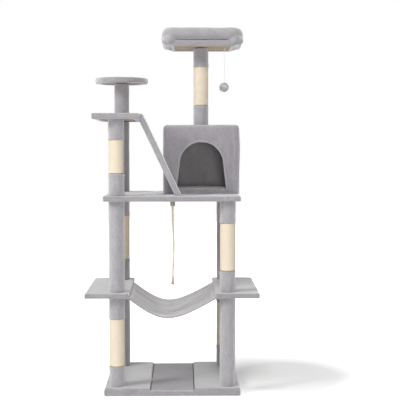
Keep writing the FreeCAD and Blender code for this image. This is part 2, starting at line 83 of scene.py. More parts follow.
class Graph:
    """A node tree, with short calls for the nodes that the finishes and the stage share."""

    def __init__(self, name: str, world: bpy.types.World | None = None) -> None:
        """Start a material with only its shader and output, or take a world's nodes.

        Args:
            name: the material's name.
            world: the world, if it isn't a material.
        """
        self.material = world or bpy.data.materials.new(name)
        self.material.use_nodes = True
        self.tree = self.material.node_tree
        self.shader = self.tree.nodes["Background" if world else "Principled BSDF"]

    def feed(self, node: bpy.types.Node, feeds: dict[str | int, object]) -> None:
        """Link a node's inputs, or set their values.

        Args:
            node: the node.
            feeds: an output socket, a number or a colour for each input, by its name or place.
        """
        for key, value in feeds.items():
            if isinstance(value, Socket):
                self.tree.links.new(value, node.inputs[key])
            else:
                node.inputs[key].default_value = value

    def node(self, kind: str, feeds: dict[str | int, object], **settings: object) -> bpy.types.NodeOutputs:
        """Add a node, set its own properties and feed its inputs.

        Args:
            kind: what follows "ShaderNode" in its type name.
            feeds: what its inputs take.
            settings: its own properties.

        Returns:
            Its outputs.
        """
        made = self.tree.nodes.new("ShaderNode" + kind)
        for key, value in settings.items():
            setattr(made, key, value)
        self.feed(made, feeds)
        return made.outputs

    def math(self, operation: str, *values: object) -> Socket:
        """Numbers put through a Math node."""
        return self.node("Math", dict(enumerate(values)), operation=operation)[0]

    def weigh(self, first: Socket, second: Socket, share: float) -> Socket:
        """A share of one value, and the rest of another."""
        return self.math("ADD", self.math("MULTIPLY", first, share), self.math("MULTIPLY", second, 1 - share))

    def place(self, centre: Iterable[float] = (0, 0, 0), stretch: Iterable[float] = (1, 1, 1)) -> Socket:
        """Measure from a centre, in object coordinates.

        Args:
            centre: the point that becomes the origin.
            stretch: the scale on each axis.

        Returns:
            The coordinates.
        """
        move = [-c * s for c, s in zip(centre, stretch)]
        feeds = {"Vector": self.node("TexCoord", {})["Object"], "Location": move, "Scale": list(stretch)}
        return self.node("Mapping", feeds)["Vector"]

    def noise(self, vector: Socket, scale: float, detail: float = 3.0, rough: float = 0.55) -> Socket:
        """Noise at a place: its cells in a metre, its octaves, and the share of the finer ones."""
        feeds = {"Vector": vector, "Scale": scale, "Detail": detail, "Roughness": rough}
        return self.node("TexNoise", feeds)["Fac"]

    def stretch(
        self, value: Socket, low: float, high: float, to_low: float = 0.0, to_high: float = 1.0
    ) -> Socket:
        """A range of values mapped to another, and clamped."""
        feeds = {"Value": value, "From Min": low, "From Max": high, "To Min": to_low, "To Max": to_high}
        return self.node("MapRange", feeds)["Result"]

    def blend(self, share: object, first: object, second: object, mode: str = "MIX") -> Socket:
        """A share of a second colour mixed into a first."""
        return self.node("Mix", {0: share, 6: first, 7: second}, data_type="RGBA", blend_type=mode)[2]

    def tones(self, share: Socket, colour: Colour, low: float, high: float) -> Socket:
        """A colour between two shades of it."""
        return self.blend(share, shade(colour, low), shade(colour, high))

    def tint(self, colour: Socket, share: Socket, wash: Colour) -> Socket:
        """A colour multiplied by a wash, and by white where the share is 1."""
        return self.blend(1.0, colour, self.blend(share, (*wash, 1.0), WHITE), "MULTIPLY")

    def bump(self, height: Socket, distance: float, strength: float, under: object = None) -> Socket:
        """Add a bump, over another if one is given.

        Args:
            height: the height field, from 0 to 1.
            distance: its depth in metres.
            strength: its share.
            under: the normal below it.

        Returns:
            The bumped normal.
        """
        feeds = {"Distance": distance, "Strength": strength, "Height": height}
        if under is not None:
            feeds["Normal"] = under
        return self.node("Bump", feeds)["Normal"]

    def seen(self) -> Socket:
        """Tell what the camera looks at from other light.

        Returns:
            1 for what it sees, also through glass or in a mirror, and 0 for the rest.
        """
        rays = self.node("LightPath", {})
        glance = self.math("MAXIMUM", rays["Is Camera Ray"], rays["Is Glossy Ray"])
        return self.math("MAXIMUM", glance, rays["Is Transmission Ray"])

    def far(self, centre: Iterable[float] = (0, 0, 0), stretch: Iterable[float] = (1, 1, 1)) -> Socket:
        """How far a point is from a centre, in stretched metres."""
        return self.node("VectorMath", {0: self.place(centre, stretch)}, operation="LENGTH")["Value"]

    def finish(self, colour: object, roughness: float, **extra: object) -> bpy.types.Material:
        """Connect the shader.

        Args:
            colour: the base colour.
            roughness: the roughness.
            extra: other inputs of the shader, with underscores for spaces.

        Returns:
            The material.
        """
        feeds = {key.replace("_", " "): value for key, value in extra.items()}
        self.feed(self.shader, {"Base Color": colour, "Roughness": roughness, **feeds})
        return self.material


def shade(colour: Colour, share: float) -> tuple[float, float, float, float]:
    """A colour made lighter or darker, with full alpha."""
    return (*[min(1.0, c * share) for c in colour], 1.0)


class Nap(Enum):
    """Which way the pile of a plush piece lies: the stretch of its fibre pattern."""

    UPRIGHT = (1.0, 1.0, 0.28)
    FLAT = (0.4, 1.0, 1.0)
    LOOSE = (1.0, 1.0, 1.0)


@dataclass(frozen=True)
class Plush:
    """Short-pile plush: brushed patches and strokes, clumps of pile and fine fibre tips."""

    name: str
    colour: Colour
    nap: Nap = Nap.UPRIGHT
    patches: float = 16.0
    strokes: float = 58.0
    clumps: float = 210.0
    fibres: float = 1100.0

    def material(self) -> bpy.types.Material:
        """Build the material.

        Returns:
            The material.
        """
        graph = Graph(self.name)
        where = graph.place()
        along = graph.place(stretch=self.nap.value)
        patch = graph.noise(where, self.patches, 3.0)
        stroke = graph.noise(along, self.strokes, 3.0, 0.6)
        clump = graph.noise(along, self.clumps, 3.0, 0.6)
        fibre = graph.noise(along, self.fibres, 2.0, 0.7)
        brushed = graph.stretch(graph.weigh(patch, stroke, 0.5), 0.34, 0.66)
        pile = graph.stretch(graph.weigh(clump, fibre, 0.6), 0.34, 0.66)
        colour = graph.tint(graph.tones(brushed, self.colour, 0.88, 1.11), pile, (0.76, 0.76, 0.77))
        normal = graph.bump(stroke, 0.0022, 0.35)
        normal = graph.bump(clump, 0.0017, 0.6, normal)
        normal = graph.bump(fibre, 0.0007, 0.5, normal)
        return graph.finish(
            colour, 0.95, Normal=normal, Sheen_Weight=1.0, Sheen_Roughness=0.6, Specular_IOR_Level=0.12
        )


@dataclass(frozen=True)
class Felt:
    """Flat needled felt: short matted fibres in faint clouds."""

    name: str
    colour: Colour

    def material(self) -> bpy.types.Material:
        """Build the material.

        Returns:
            The material.
        """
        graph = Graph(self.name)
        where = graph.place()
        mat = graph.noise(where, 380.0, 4.0, 0.7)
        cloud = graph.noise(where, 22.0, 2.0)
        speck = graph.stretch(mat, 0.35, 0.65, 0.84, 1.08)
        grey = graph.node("CombineColor", {0: speck, 1: speck, 2: speck})["Color"]
        colour = graph.blend(1.0, graph.tones(cloud, self.colour, 0.90, 1.10), grey, "MULTIPLY")
        normal = graph.bump(mat, 0.0006, 0.5)
        return graph.finish(colour, 0.96, Normal=normal, Sheen_Weight=0.12, Specular_IOR_Level=0.1)


@dataclass(frozen=True)
class Sisal:
    """Sisal cord laid in turns: slanted strands on each turn, pale fibres, and a colour darker in the grooves
    between strands and a little lighter on their crowns: painted shade and light.
    """

    name: str
    centre: tuple[float, float, float]
    pitch: float
    colour: Colour = (0.935, 0.845, 0.71)
    strands: int = 46
    fibres: float = 1500.0

    def material(self) -> bpy.types.Material:
        """Build the material.

        Returns:
            The material.
        """
        graph = Graph(self.name)
        where = graph.place(self.centre)
        axes = graph.node("SeparateXYZ", {"Vector": where})
        turn = graph.math("ARCTAN2", axes["Y"], axes["X"])
        rise = graph.math("MULTIPLY", axes["Z"], math.tau / self.pitch)
        # strands lean across each turn, and the sum stays whole once round the post
        slant = graph.math("ADD", graph.math("MULTIPLY", turn, float(self.strands)), rise)
        strand = graph.math("MULTIPLY_ADD", graph.math("SINE", slant), 0.5, 0.5)
        fibre = graph.noise(graph.place(self.centre, (1.0, 1.0, 2.5)), self.fibres, 3.0, 0.7)
        patch = graph.noise(where, 40.0, 2.0)
        # painted shade and light: darker towards the grooves between strands, a little lighter on their
        # crowns
        colour = graph.tint(graph.tones(strand, self.colour, 0.74, 1.08), patch, (0.93, 0.90, 0.86))
        colour = graph.tint(colour, graph.stretch(fibre, 0.4, 0.6), (0.88, 0.86, 0.83))
        normal = graph.bump(fibre, 0.0003, 0.6, graph.bump(strand, 0.0007, 0.6))
        return graph.finish(colour, 0.86, Normal=normal, Sheen_Weight=0.1, Specular_IOR_Level=0.2)


@dataclass(frozen=True)
class ChipBoard:
    """Bare particle board: pressed chips of several browns."""

    name: str
    colour: Colour = (0.47, 0.365, 0.275)

    def material(self) -> bpy.types.Material:
        """Build the material.

        Returns:
            The material.
        """
        graph = Graph(self.name)
        where = graph.place(stretch=(1.0, 2.2, 1.0))
        chips = graph.node("TexVoronoi", {"Vector": where, "Scale": 150.0})
        tone = graph.node("SeparateColor", {0: chips["Color"]})[0]
        dust = graph.noise(where, 500.0, 3.0)
        colour = graph.tones(tone, self.colour, 0.78, 1.22)
        colour = graph.blend(graph.math("MULTIPLY", dust, 0.5), colour, shade(self.colour, 0.9))
        normal = graph.bump(dust, 0.0004, 0.4)
        return graph.finish(colour, 0.8, Normal=normal, Specular_IOR_Level=0.25)


@dataclass(frozen=True)
class Plain:
    """A simple hard or fibrous finish with a fine grain, for what is small or mostly hidden."""

    name: str
    colour: Colour
    roughness: float = 0.7
    grain: float = 300.0
    depth: float = 0.0002
    metal: float = 0.0
    spread: float = 0.08

    def material(self) -> bpy.types.Material:
        """Build the material.

        Returns:
            The material.
        """
        graph = Graph(self.name)
        fine = graph.noise(graph.place(), self.grain, 3.0)
        colour = graph.tones(fine, self.colour, 1.0 - self.spread, 1.0 + self.spread)
        normal = graph.bump(fine, self.depth, 0.5)
        return graph.finish(colour, self.roughness, Normal=normal, Metallic=self.metal)


@dataclass(frozen=True)
class Yarn:
    """Twisted cotton: fine matted threads on each strand."""

    name: str
    colour: Colour = (0.88, 0.80, 0.66)

    def material(self) -> bpy.types.Material:
        """Build the material.

        Returns:
            The material.
        """
        graph = Graph(self.name)
        where = graph.place(stretch=(1.0, 1.0, 0.5))
        fibre = graph.noise(where, 1400.0, 3.0, 0.7)
        patch = graph.noise(where, 60.0, 2.0)
        colour = graph.tones(patch, self.colour, 0.90, 1.06)
        colour = graph.tint(colour, graph.stretch(fibre, 0.35, 0.65), (0.80, 0.78, 0.75))
        normal = graph.bump(fibre, 0.0004, 0.6)
        return graph.finish(colour, 0.9, Normal=normal, Sheen_Weight=0.2, Specular_IOR_Level=0.15)


Finish = Plush | Felt | Sisal | ChipBoard | Plain | Yarn


@dataclass
class Wardrobe:
    """Every finish of the tree, each made into a material once."""

    made: dict[str, bpy.types.Material] = field(default_factory=dict)

    def get(self, finish: Finish) -> bpy.types.Material:
        """The finish's material.

        Args:
            finish: the finish.

        Returns:
            Its material, built at the first call.
        """
        if finish.name not in self.made:
            self.made[finish.name] = finish.material()
        return self.made[finish.name]


WARDROBE = Wardrobe()
# copies of one grey plush, the pile's lie set per piece; their colours are set apart as painted shade and
# light: darkest on the house, then the lining, the boards and the loose pieces, lightest on the posts
BOARD_PLUSH = Plush("board_plush", (0.300, 0.288, 0.304), Nap.FLAT)
POST_PLUSH = Plush("post_plush", (0.348, 0.334, 0.352), Nap.UPRIGHT)
LOOSE_PLUSH = Plush("loose_plush", (0.322, 0.310, 0.328), Nap.LOOSE)
HOUSE_PLUSH = Plush("house_plush", (0.280, 0.262, 0.285), Nap.UPRIGHT)
LINING_PLUSH = Plush("lining_plush", (0.295, 0.277, 0.287), Nap.UPRIGHT)
MAT_FELT = Felt("mat_felt", (0.386, 0.378, 0.390))
# painted shade: a near-black sheet that shows only in the gaps beside the mat, where shade falls
MAT_GAP_SHADE = Felt("mat_gap_shade", (0.085, 0.082, 0.086))
CHIP_BOARD = ChipBoard("chip_board")
FIBRE_BOARD = ChipBoard("fibre_board", (0.33, 0.235, 0.16))
STEEL = Plain("zinc_steel", (0.62, 0.63, 0.65), 0.38, 700.0, 0.00005, 1.0, 0.05)
CARDBOARD = Plain("cardboard", (0.48, 0.37, 0.26), 0.85)
PLUG_WOOD = Plain("plug_wood", (0.60, 0.46, 0.31), 0.7, 120.0)
COLLAR_PLASTIC = Plain("collar_plastic", (0.30, 0.275, 0.25), 0.5, 900.0, 0.00004)
COTTON = Yarn("cotton_rope")
WHITE_STRING = Plain("white_string", (0.66, 0.66, 0.67), 0.9, 1500.0, 0.0001)
FLUFF = Plain("pompom_fluff", (0.63, 0.615, 0.63), 0.97, 900.0, 0.0003, 0.0, 0.18)


# ---- mesh building ------------------------------------------------------------------


def placed(name: str, data: bpy.types.ID) -> Thing:
    """Link a new object to the scene.

    Args:
        name: its name.
        data: its mesh, curve, lamp or camera.

    Returns:
        The object.
    """
    made = bpy.data.objects.new(name, data)
    bpy.context.scene.collection.objects.link(made)
    return made


def poured(mesh: Mesh, name: str) -> bpy.types.Mesh:
    """Turn a bmesh into mesh data, and free it.

    Args:
        mesh: the bmesh.
        name: the data's name.

    Returns:
        The data.
    """
    data = bpy.data.meshes.new(name)
    mesh.to_mesh(data)
    mesh.free()
    return data


def piece(
    name: str, shape: Mesh | bpy.types.Mesh, finish: Finish, slot: str, *nodes: str, body: str = FRAME_BODY
) -> Thing:
    """Make a smooth-shaded piece that rides on a body.

    Args:
        name: its name.
        shape: its shape; a bmesh is freed.
        finish: its finish.
        slot: the record's material slot; not used.
        nodes: the frame's nodes that it stands for.
        body: the body it rides on.

    Returns:
        The object.
    """
    data = poured(shape, name) if isinstance(shape, Mesh) else shape
    data.shade_smooth()
    data.materials.clear()
    data.materials.append(WARDROBE.get(finish))
    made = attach(placed(name, data), body)
    if nodes:
        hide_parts(*nodes)
    return made


def span(node: str) -> tuple[Vector, Vector, Vector]:
    """A node's middle, size and lowest corner."""
    low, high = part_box(node)
    return (low + high) / 2, high - low, low


def face_out(mesh: Mesh) -> None:
    """Turn every face of a closed mesh outwards."""
    bmesh.ops.recalc_face_normals(mesh, faces=mesh.faces)


def weld(mesh: Mesh, gap: float) -> None:
    """Join points that are closer than a gap, and drop the faces that close up."""
    bmesh.ops.remove_doubles(mesh, verts=mesh.verts, dist=gap)
    bmesh.ops.dissolve_degenerate(mesh, edges=mesh.edges, dist=gap)


def whole(mesh: Mesh) -> list:
    """Every vertex, edge and face."""
    return mesh.verts[:] + mesh.edges[:] + mesh.faces[:]


def cross_cut(mesh: Mesh, axis: int, *places: float) -> None:
    """Cut a mesh right through.

    Args:
        mesh: the mesh.
        axis: the axis that the cuts are square to: 0, 1 or 2.
        places: where they are on it.
    """
    normal = Vector([float(i == axis) for i in range(3)])
    for spot in places:
        bmesh.ops.bisect_plane(mesh, geom=whole(mesh), plane_co=normal * spot, plane_no=normal)


def slice_up(mesh: Mesh, axis: int, start: float, end: float, cell: float) -> None:
    """Cut a mesh across an axis, a cell apart or less, so that it can bend and dimple."""
    count = max(1, math.ceil((end - start) / cell))
    cross_cut(mesh, axis, *[start + (end - start) * step / count for step in range(1, count)])


def verts_of(geometry: Iterable[object]) -> list[bmesh.types.BMVert]:
    """The vertices among what an operator made."""
    return [g for g in geometry if isinstance(g, bmesh.types.BMVert)]


def edges_of(geometry: Iterable[object]) -> Edges:
    """The edges among what an operator made."""
    return [g for g in geometry if isinstance(g, bmesh.types.BMEdge)]


def flat_edges(mesh: Mesh, height: float) -> Edges:
    """The edges that lie at a height."""
    return [e for e in mesh.edges if all(abs(v.co.z - height) < 1e-6 for v in e.verts)]


def round_off(mesh: Mesh, edges: Edges, radius: float, segments: int) -> None:
    """Bevel edges to a round of so many faces."""
    bmesh.ops.bevel(
        mesh, geom=edges, offset=radius, affect="EDGES", segments=segments, profile=0.5, material=-1
    )


def round_rim(mesh: Mesh, level: float, reach: float, radius: float, segments: int = 4) -> None:
    """Round the outermost edges of a shape turned round the Z axis, at a height and a reach."""
    rim = [e for e in flat_edges(mesh, level) if all(v.co.xy.length > reach - 1e-4 for v in e.verts)]
    round_off(mesh, rim, radius, segments)


def box_mesh(size: Vector, corner: float, steps: int) -> Mesh:
    """A box centred on the origin, with round upright corners.

    Args:
        size: its width, depth and height.
        corner: the radius of its corners.
        steps: how many steps round one.

    Returns:
        The mesh.
    """
    mesh = bmesh.new()
    bmesh.ops.create_cube(mesh, size=1.0)
    bmesh.ops.scale(mesh, vec=size, verts=mesh.verts)
    upright = [e for e in mesh.edges if abs(e.verts[0].co.z - e.verts[1].co.z) > size.z / 2]
    round_off(mesh, upright, corner, steps)
    return mesh


def block(size: Vector, corner: float, edge: float, cell: float, steps: int = 4) -> Mesh:
    """A soft-edged block centred on the origin, cut into cells on its wide faces.

    Args:
        size: its width, depth and height.
        corner: radius of the upright corners.
        edge: radius of the level edges.
        cell: size of its cells.
        steps: how many steps round a level edge.

    Returns:
        The mesh.
    """
    mesh = box_mesh(size, corner, 5)
    for height in (size.z / 2, -size.z / 2):
        round_off(mesh, flat_edges(mesh, height), edge, steps)
    for axis in (0, 1):
        slice_up(mesh, axis, -size[axis] / 2, size[axis] / 2, cell)
    return mesh


def soften(
    mesh: Mesh,
    depth: float,
    length: float,
    seed: float,
    mask: Callable[[Vector], float] | None = None,
) -> None:
    """Push points in and out along their normals by smooth noise.

    Args:
        mesh: the mesh.
        depth: the furthest that a point moves.
        length: how long the waves are.
        seed: where in the noise it reads.
        mask: share of the move at a point.
    """
    mesh.normal_update()
    offset = Vector((seed * 3.1, seed * 7.7, seed * 1.3))
    for vert in mesh.verts:
        share = mask(vert.co) if mask else 1.0
        vert.co += vert.normal * noise.noise(vert.co / length + offset) * depth * share


def above(bottom: float) -> Callable[[Vector], float]:
    """A mask that leaves a board's underside flat."""
    return lambda co: smooth_step(bottom + 0.004, bottom + 0.012, co.z)


def polar(radius: float, turn: float, z: float = 0.0) -> Vector:
    """The point at a radius and a turn round the Z axis."""
    return Vector((radius * math.cos(turn), radius * math.sin(turn), z))


def lift(mesh: Mesh, to: Vector) -> None:
    """Move a whole mesh."""
    bmesh.ops.translate(mesh, vec=to, verts=mesh.verts)


def smooth_step(low: float, high: float, value: float) -> float:
    """0 below low, 1 above high, and a smooth rise between."""
    share = min(1.0, max(0.0, (value - low) / (high - low)))
    return share * share * (3.0 - 2.0 * share)


def press(mesh: Mesh, faces: list[bmesh.types.BMFace], move: Vector) -> None:
    """Extrude a patch of faces by a move, and leave nothing behind it.

    Args:
        mesh: the mesh.
        faces: the patch.
        move: where it goes.
    """
    grown = bmesh.ops.extrude_face_region(mesh, geom=faces)["geom"]
    bmesh.ops.translate(mesh, vec=move, verts=verts_of(grown))
    left = [f for f in faces if f.is_valid]
    if left:
        bmesh.ops.delete(mesh, geom=left, context="FACES")


def recess(mesh: Mesh, side: int, reach_x: float, reach_y: float, depth: float) -> None:
    """Sink a rectangle in the middle of a block's top or bottom.

    Args:
        mesh: the block, centred on the origin.
        side: 1 for the top, -1 for the bottom.
        reach_x: half its width.
        reach_y: half its depth in Y.
        depth: how deep it is.
    """
    cross_cut(mesh, 0, -reach_x, reach_x)
    cross_cut(mesh, 1, -reach_y, reach_y)
    level = side * max(side * v.co.z for v in mesh.verts)
    faces = []
    for face in mesh.faces:
        centre = face.calc_center_median()
        if abs(centre.z - level) < 1e-5 and abs(centre.x) < reach_x and abs(centre.y) < reach_y:
            faces.append(face)
    press(mesh, faces, UP * -side * depth)


def lathe(mesh: Mesh, points: list[tuple[float, float]], steps: int) -> None:
    """Turn a closed outline round the Z axis.

    Args:
        mesh: the mesh that it is added to.
        points: radius and height of the outline's corners.
        steps: how many faces go round.
    """
    verts = [mesh.verts.new((r, 0.0, z)) for r, z in points]
    edges = [mesh.edges.new(pair) for pair in zip(verts, verts[1:] + verts[:1])]
    bmesh.ops.spin(
        mesh, geom=verts + edges, cent=(0, 0, 0), axis=UP, angle=math.tau, steps=steps, use_merge=True
    )
    bmesh.ops.remove_doubles(mesh, verts=mesh.verts, dist=1e-6)
    bmesh.ops.dissolve_degenerate(mesh, edges=mesh.edges, dist=1e-7)
    loose = [e for e in mesh.edges if not e.link_faces]
    bmesh.ops.delete(mesh, geom=loose, context="EDGES")
    face_out(mesh)


def close_ends(mesh: Mesh) -> None:
    """Fill every open loop of a mesh."""
    bmesh.ops.holes_fill(mesh, edges=[e for e in mesh.edges if e.is_boundary], sides=0)
    face_out(mesh)


def routed(points: list[Vector], name: str = "route") -> Thing:
    """A smooth curve through space with these control points.

    Args:
        points: control points in the row frame.
        name: the curve's name.

    Returns:
        The curve object, linked to the scene.
    """
    data = bpy.data.curves.new(name, "CURVE")
    data.dimensions = "3D"
    data.resolution_u = 12
    spline = data.splines.new("NURBS")
    spline.points.add(len(points) - 1)
    for target, point in zip(spline.points, points):
        target.co = (*point, 1.0)
    spline.order_u = 3
    spline.use_endpoint_u = True
    return placed(name, data)


def evaluated(made: Thing) -> bpy.types.Mesh:
    """Bake an object's modifiers or bevel.

    Args:
        made: the object.

    Returns:
        A new mesh.
    """
    bpy.context.view_layer.update()
    graph = bpy.context.evaluated_depsgraph_get()
    return bpy.data.meshes.new_from_object(made.evaluated_get(graph))


def line_of(curve: Thing) -> list[Vector]:
    """The points along a curve that has no bevel."""
    return [v.co.copy() for v in evaluated(curve).vertices]


def cords_mesh(name: str, lines: list[list[Vector]], radius: float, sides: int) -> bpy.types.Mesh:
    """Round strands along lines, as one mesh.

    Args:
        name: the mesh's name.
        lines: the points that each strand follows.
        radius: a strand's radius.
        sides: 0 for a square section, and more for a rounder one.

    Returns:
        The mesh.
    """
    data = bpy.data.curves.new(name, "CURVE")
    data.dimensions = "3D"
    data.bevel_depth = radius
    data.bevel_resolution = sides
    data.use_fill_caps = True
    for line in lines:
        spline = data.splines.new("POLY")
        spline.points.add(len(line) - 1)
        for target, point in zip(spline.points, line):
            target.co = (*point, 1.0)
    holder = placed(name, data)
    data = evaluated(holder)
    bpy.data.objects.remove(holder)
    mesh = bmesh.new()
    mesh.from_mesh(data)
    bmesh.ops.remove_doubles(mesh, verts=mesh.verts, dist=1e-6)
    face_out(mesh)
    mesh.to_mesh(data)
    mesh.free()
    return data


def settle(made: Thing) -> None:
    """Apply an object's modifiers to its mesh.

    Args:
        made: the object.
    """
    done = evaluated(made)
    made.modifiers.clear()
    old, made.data = made.data, done
    bpy.data.meshes.remove(old)


def puff(made: Thing, voxel: float, cap: float, pressure: float = 4.0, frames: int = 20) -> None:
    """Stuff a closed form: remesh it, swell it as cloth, and keep each point near its start.

    Args:
        made: the piece, a little smaller than its final size.
        voxel: size of the remeshed cells.
        cap: furthest that a point may move.
        pressure: how hard the stuffing pushes.
        frames: how long it swells.
    """
    remesh = made.modifiers.new("Remesh", "REMESH")
    remesh.mode = "VOXEL"
    remesh.voxel_size = voxel
    settle(made)
    start = [v.co.copy() for v in made.data.vertices]
    cloth = made.modifiers.new("Cloth", "CLOTH")
    cloth.settings.quality = 5
    cloth.settings.use_pressure = True
    cloth.settings.uniform_pressure_force = pressure
    cloth.settings.effector_weights.gravity = 0.0
    cloth.point_cache.frame_start = 1
    cloth.point_cache.frame_end = frames
    for step in range(1, frames + 1):
        bpy.context.scene.frame_set(step)
    settle(made)
    bpy.context.scene.frame_set(1)
    for vert, was in zip(made.data.vertices, start):
        move = vert.co - was
        if move.length > cap:
            vert.co = was + move * (cap / move.length)
    finer = made.modifiers.new("Subdivision", "SUBSURF")
    finer.levels = finer.render_levels = 1
    settle(made)


# ---- boards -------------------------------------------------------------------------


@dataclass
class CoveredBoard:
    """A flat board in a plush wrap: soft rims, folded corners, and a stapled hem below."""

    name: str
    seed: float
    heads: tuple[str, ...] = ()
    hem: float = 0.030
    skin: float = 0.0035
    corner: float = 0.006
    rim: float = 0.0055
    rim_steps: int = 4
    cell: float = 0.013
    wave: float = 0.0011
    fold: float = 0.011
    fold_width: float = 0.0018
    nip: float = 0.0016
    dimple: float = 0.0016
    slot_width: float = 0.0
    padding: float = 0.0

    def cover_mesh(self, middle: Vector, size: Vector) -> Mesh:
        """Shape the wrap.

        Args:
            middle: where it is.
            size: its size.

        Returns:
            Its mesh, in place.
        """
        mesh = block(size, self.corner, self.rim, self.cell, self.rim_steps)
        for sign in (-1, 1):
            crease = sign * (size.x / 2 - self.fold)
            cross_cut(mesh, 0, crease - self.fold_width, crease, crease + self.fold_width)
        if self.slot_width:
            side = self.slot_width / 2
            cross_cut(mesh, 0, *[sign * (side + step) for sign in (-1, 1) for step in (-0.003, 0.003, 0.006)])
            recess(mesh, 1, side, size.y / 2 - self.rim, self.skin - 0.0003)
            round_off(mesh, self.lip(mesh, size), 0.0014, 3)
            weld(mesh, 6e-5)
        recess(mesh, -1, size.x / 2 - self.hem, size.y / 2 - self.hem, self.skin + 0.001)
        spots = [span(f"{post}_post_sleeve")[0] - middle for post in self.heads]
        for spot in spots:
            for axis in (0, 1):
                cross_cut(mesh, axis, *[spot[axis] + step for step in (-0.018, -0.009, 0.009, 0.018)])
        soften(mesh, self.wave, 0.055, self.seed, above(-size.z / 2))
        for vert in mesh.verts:
            side_gap = abs(abs(vert.co.x) - (size.x / 2 - self.fold))
            if side_gap < self.fold_width / 2 and abs(vert.co.y) > size.y / 2 - self.rim / 2:
                vert.co.y -= math.copysign(self.nip, vert.co.y)
            for spot in spots:
                gap = (vert.co.xy - spot.xy).length
                if vert.co.z > 0 and gap < 0.024:
                    vert.co.z -= self.dimple * (1 - smooth_step(0.010, 0.024, gap))
        if self.slot_width:
            self.pad_panels(mesh, size)
        lift(mesh, middle)
        return mesh

    def pad_panels(self, mesh: Mesh, size: Vector) -> None:
        """Raise the panels beside the mat's slot, and let the slot run out over the rims.

        Args:
            mesh: the wrap, centred on the origin.
            size: its size.
        """
        side, half = self.slot_width / 2, size.z / 2
        for vert in mesh.verts:
            upper = smooth_step(half - self.rim, half, vert.co.z)
            panel = smooth_step(side - 0.001, side + 0.005, abs(vert.co.x))
            vert.co.z += self.padding * upper * panel
            past = abs(vert.co.y) - (size.y / 2 - self.rim)
            if abs(vert.co.x) < side + 1e-5 and past > (-0.0006 if vert.co.z > half - 0.0018 else 0.0004):
                # shallower beside the mat, where it hides the board's corner
                depth = self.skin * (1 - 0.5 * smooth_step(side - 0.010, side - 0.003, abs(vert.co.x)))
                vert.co.z -= depth * smooth_step(0.0, self.rim, vert.co.z)

    def lip(self, mesh: Mesh, size: Vector) -> Edges:
        """The long edges at the top of the mat's slot."""
        side, rows = self.slot_width / 2, flat_edges(mesh, size.z / 2)
        return [e for e in rows if all(abs(abs(v.co.x) - side) < 1e-5 for v in e.verts)]

    def hem_spots(self, size: Vector, step: float = 0.062) -> list[tuple[float, float, bool]]:
        """Where the staples go.

        Args:
            size: the board's size.
            step: how far apart they are.

        Returns:
            Place from the middle, and whether each lies across Y.
        """
        inset = self.hem - 0.011
        spots = []
        for along, across, turned in ((size.x, size.y, False), (size.y, size.x, True)):
            count = max(2, int((along - 2 * self.hem) / step))
            for index in range(count):
                reach = (along - 2 * self.hem) * ((index + 0.5) / count - 0.5)
                for sign in (-1, 1):
                    edge = sign * (across / 2 - inset)
                    spots.append((edge, reach, True) if turned else (reach, edge, False))
        return spots

    def staples(self, middle: Vector, size: Vector) -> Mesh:
        """The staples that hold the hem to the board.

        Args:
            middle: the wrap's middle.
            size: the wrap's size.

        Returns:
            Their mesh, in place.
        """
        mesh = bmesh.new()
        for x, y, turned in self.hem_spots(size):
            wobble = 0.2 * noise.noise(Vector((x * 40, y * 40, self.seed)))
            where = Matrix.Translation(middle + Vector((x, y, -size.z / 2 + 0.0003)))
            where @= Matrix.Rotation((0.0 if turned else math.pi / 2) + wobble, 4, "Z")
            bmesh.ops.create_cube(mesh, size=1.0, matrix=where @ Matrix.Diagonal((0.0012, 0.011, 0.0009, 1)))
        round_off(mesh, mesh.edges[:], 0.0002, 1)
        return mesh

    def build(self) -> list[Thing]:
        """Make the wrap and its staples.

        Returns:
            The pieces.
        """
        middle, size, _ = span(f"{self.name}_cover")
        cover = self.cover_mesh(middle, size)
        wrap = piece(f"{self.name}_plush_wrap", cover, BOARD_PLUSH, "grey_plush", f"{self.name}_cover")
        return [wrap, piece(f"{self.name}_hem_staples", self.staples(middle, size), STEEL, "zinc_steel")]


@dataclass
class RoundPerch(CoveredBoard):
    """The round perch: the same wrap, turned as a disc."""

    steps: int = 88
    dimple: float = 0.0018
    gather: float = 0.0006
    gathers: int = 44

    def cover_mesh(self, middle: Vector, size: Vector) -> Mesh:
        """Shape the wrap as a disc.

        Args:
            middle: where it is.
            size: its size.

        Returns:
            Its mesh, in place.
        """
        mesh = bmesh.new()
        radius, half = size.x / 2, size.z / 2
        inside = radius - self.hem
        ceiling = self.skin + 0.001 - half
        under = [(0, ceiling), (inside, ceiling), (inside, -half), (radius, -half)]
        lathe(mesh, [*under, (radius, half), (0, half)], self.steps)
        for level in (half, -half):
            round_rim(mesh, level, radius, self.rim)
        for axis in (0, 1):
            slice_up(mesh, axis, -radius, radius, self.cell)
        soften(mesh, self.wave, 0.05, self.seed, above(-half))
        for vert in mesh.verts:
            gap = vert.co.xy.length
            if vert.co.z > 0 and gap < 0.026:
                vert.co.z -= self.dimple * (1 - smooth_step(0.010, 0.026, gap))
        # small gathers where the straight pile is pulled round the rim
        for vert in mesh.verts:
            if vert.co.xy.length > radius - 0.001:
                turn = math.atan2(vert.co.y, vert.co.x)
                pull = math.sin(turn * self.gathers + 3 * math.sin(turn * 3))
                vert.co.xy *= 1 + self.gather / radius * pull
        lift(mesh, middle)
        return mesh

    def hem_spots(self, size: Vector, step: float = 0.045) -> list[tuple[float, float, bool]]:
        """Where the staples go, round the hem.

        Args:
            size: the perch's size.
            step: how far apart they are.

        Returns:
            Place from the middle, and whether each lies across Y.
        """
        ring = size.x / 2 - self.hem + 0.011
        count = int(math.tau * ring / step)
        turns = [math.tau * index / count for index in range(count)]
        return [(ring * math.cos(t), ring * math.sin(t), abs(math.cos(t)) > 0.7) for t in turns]


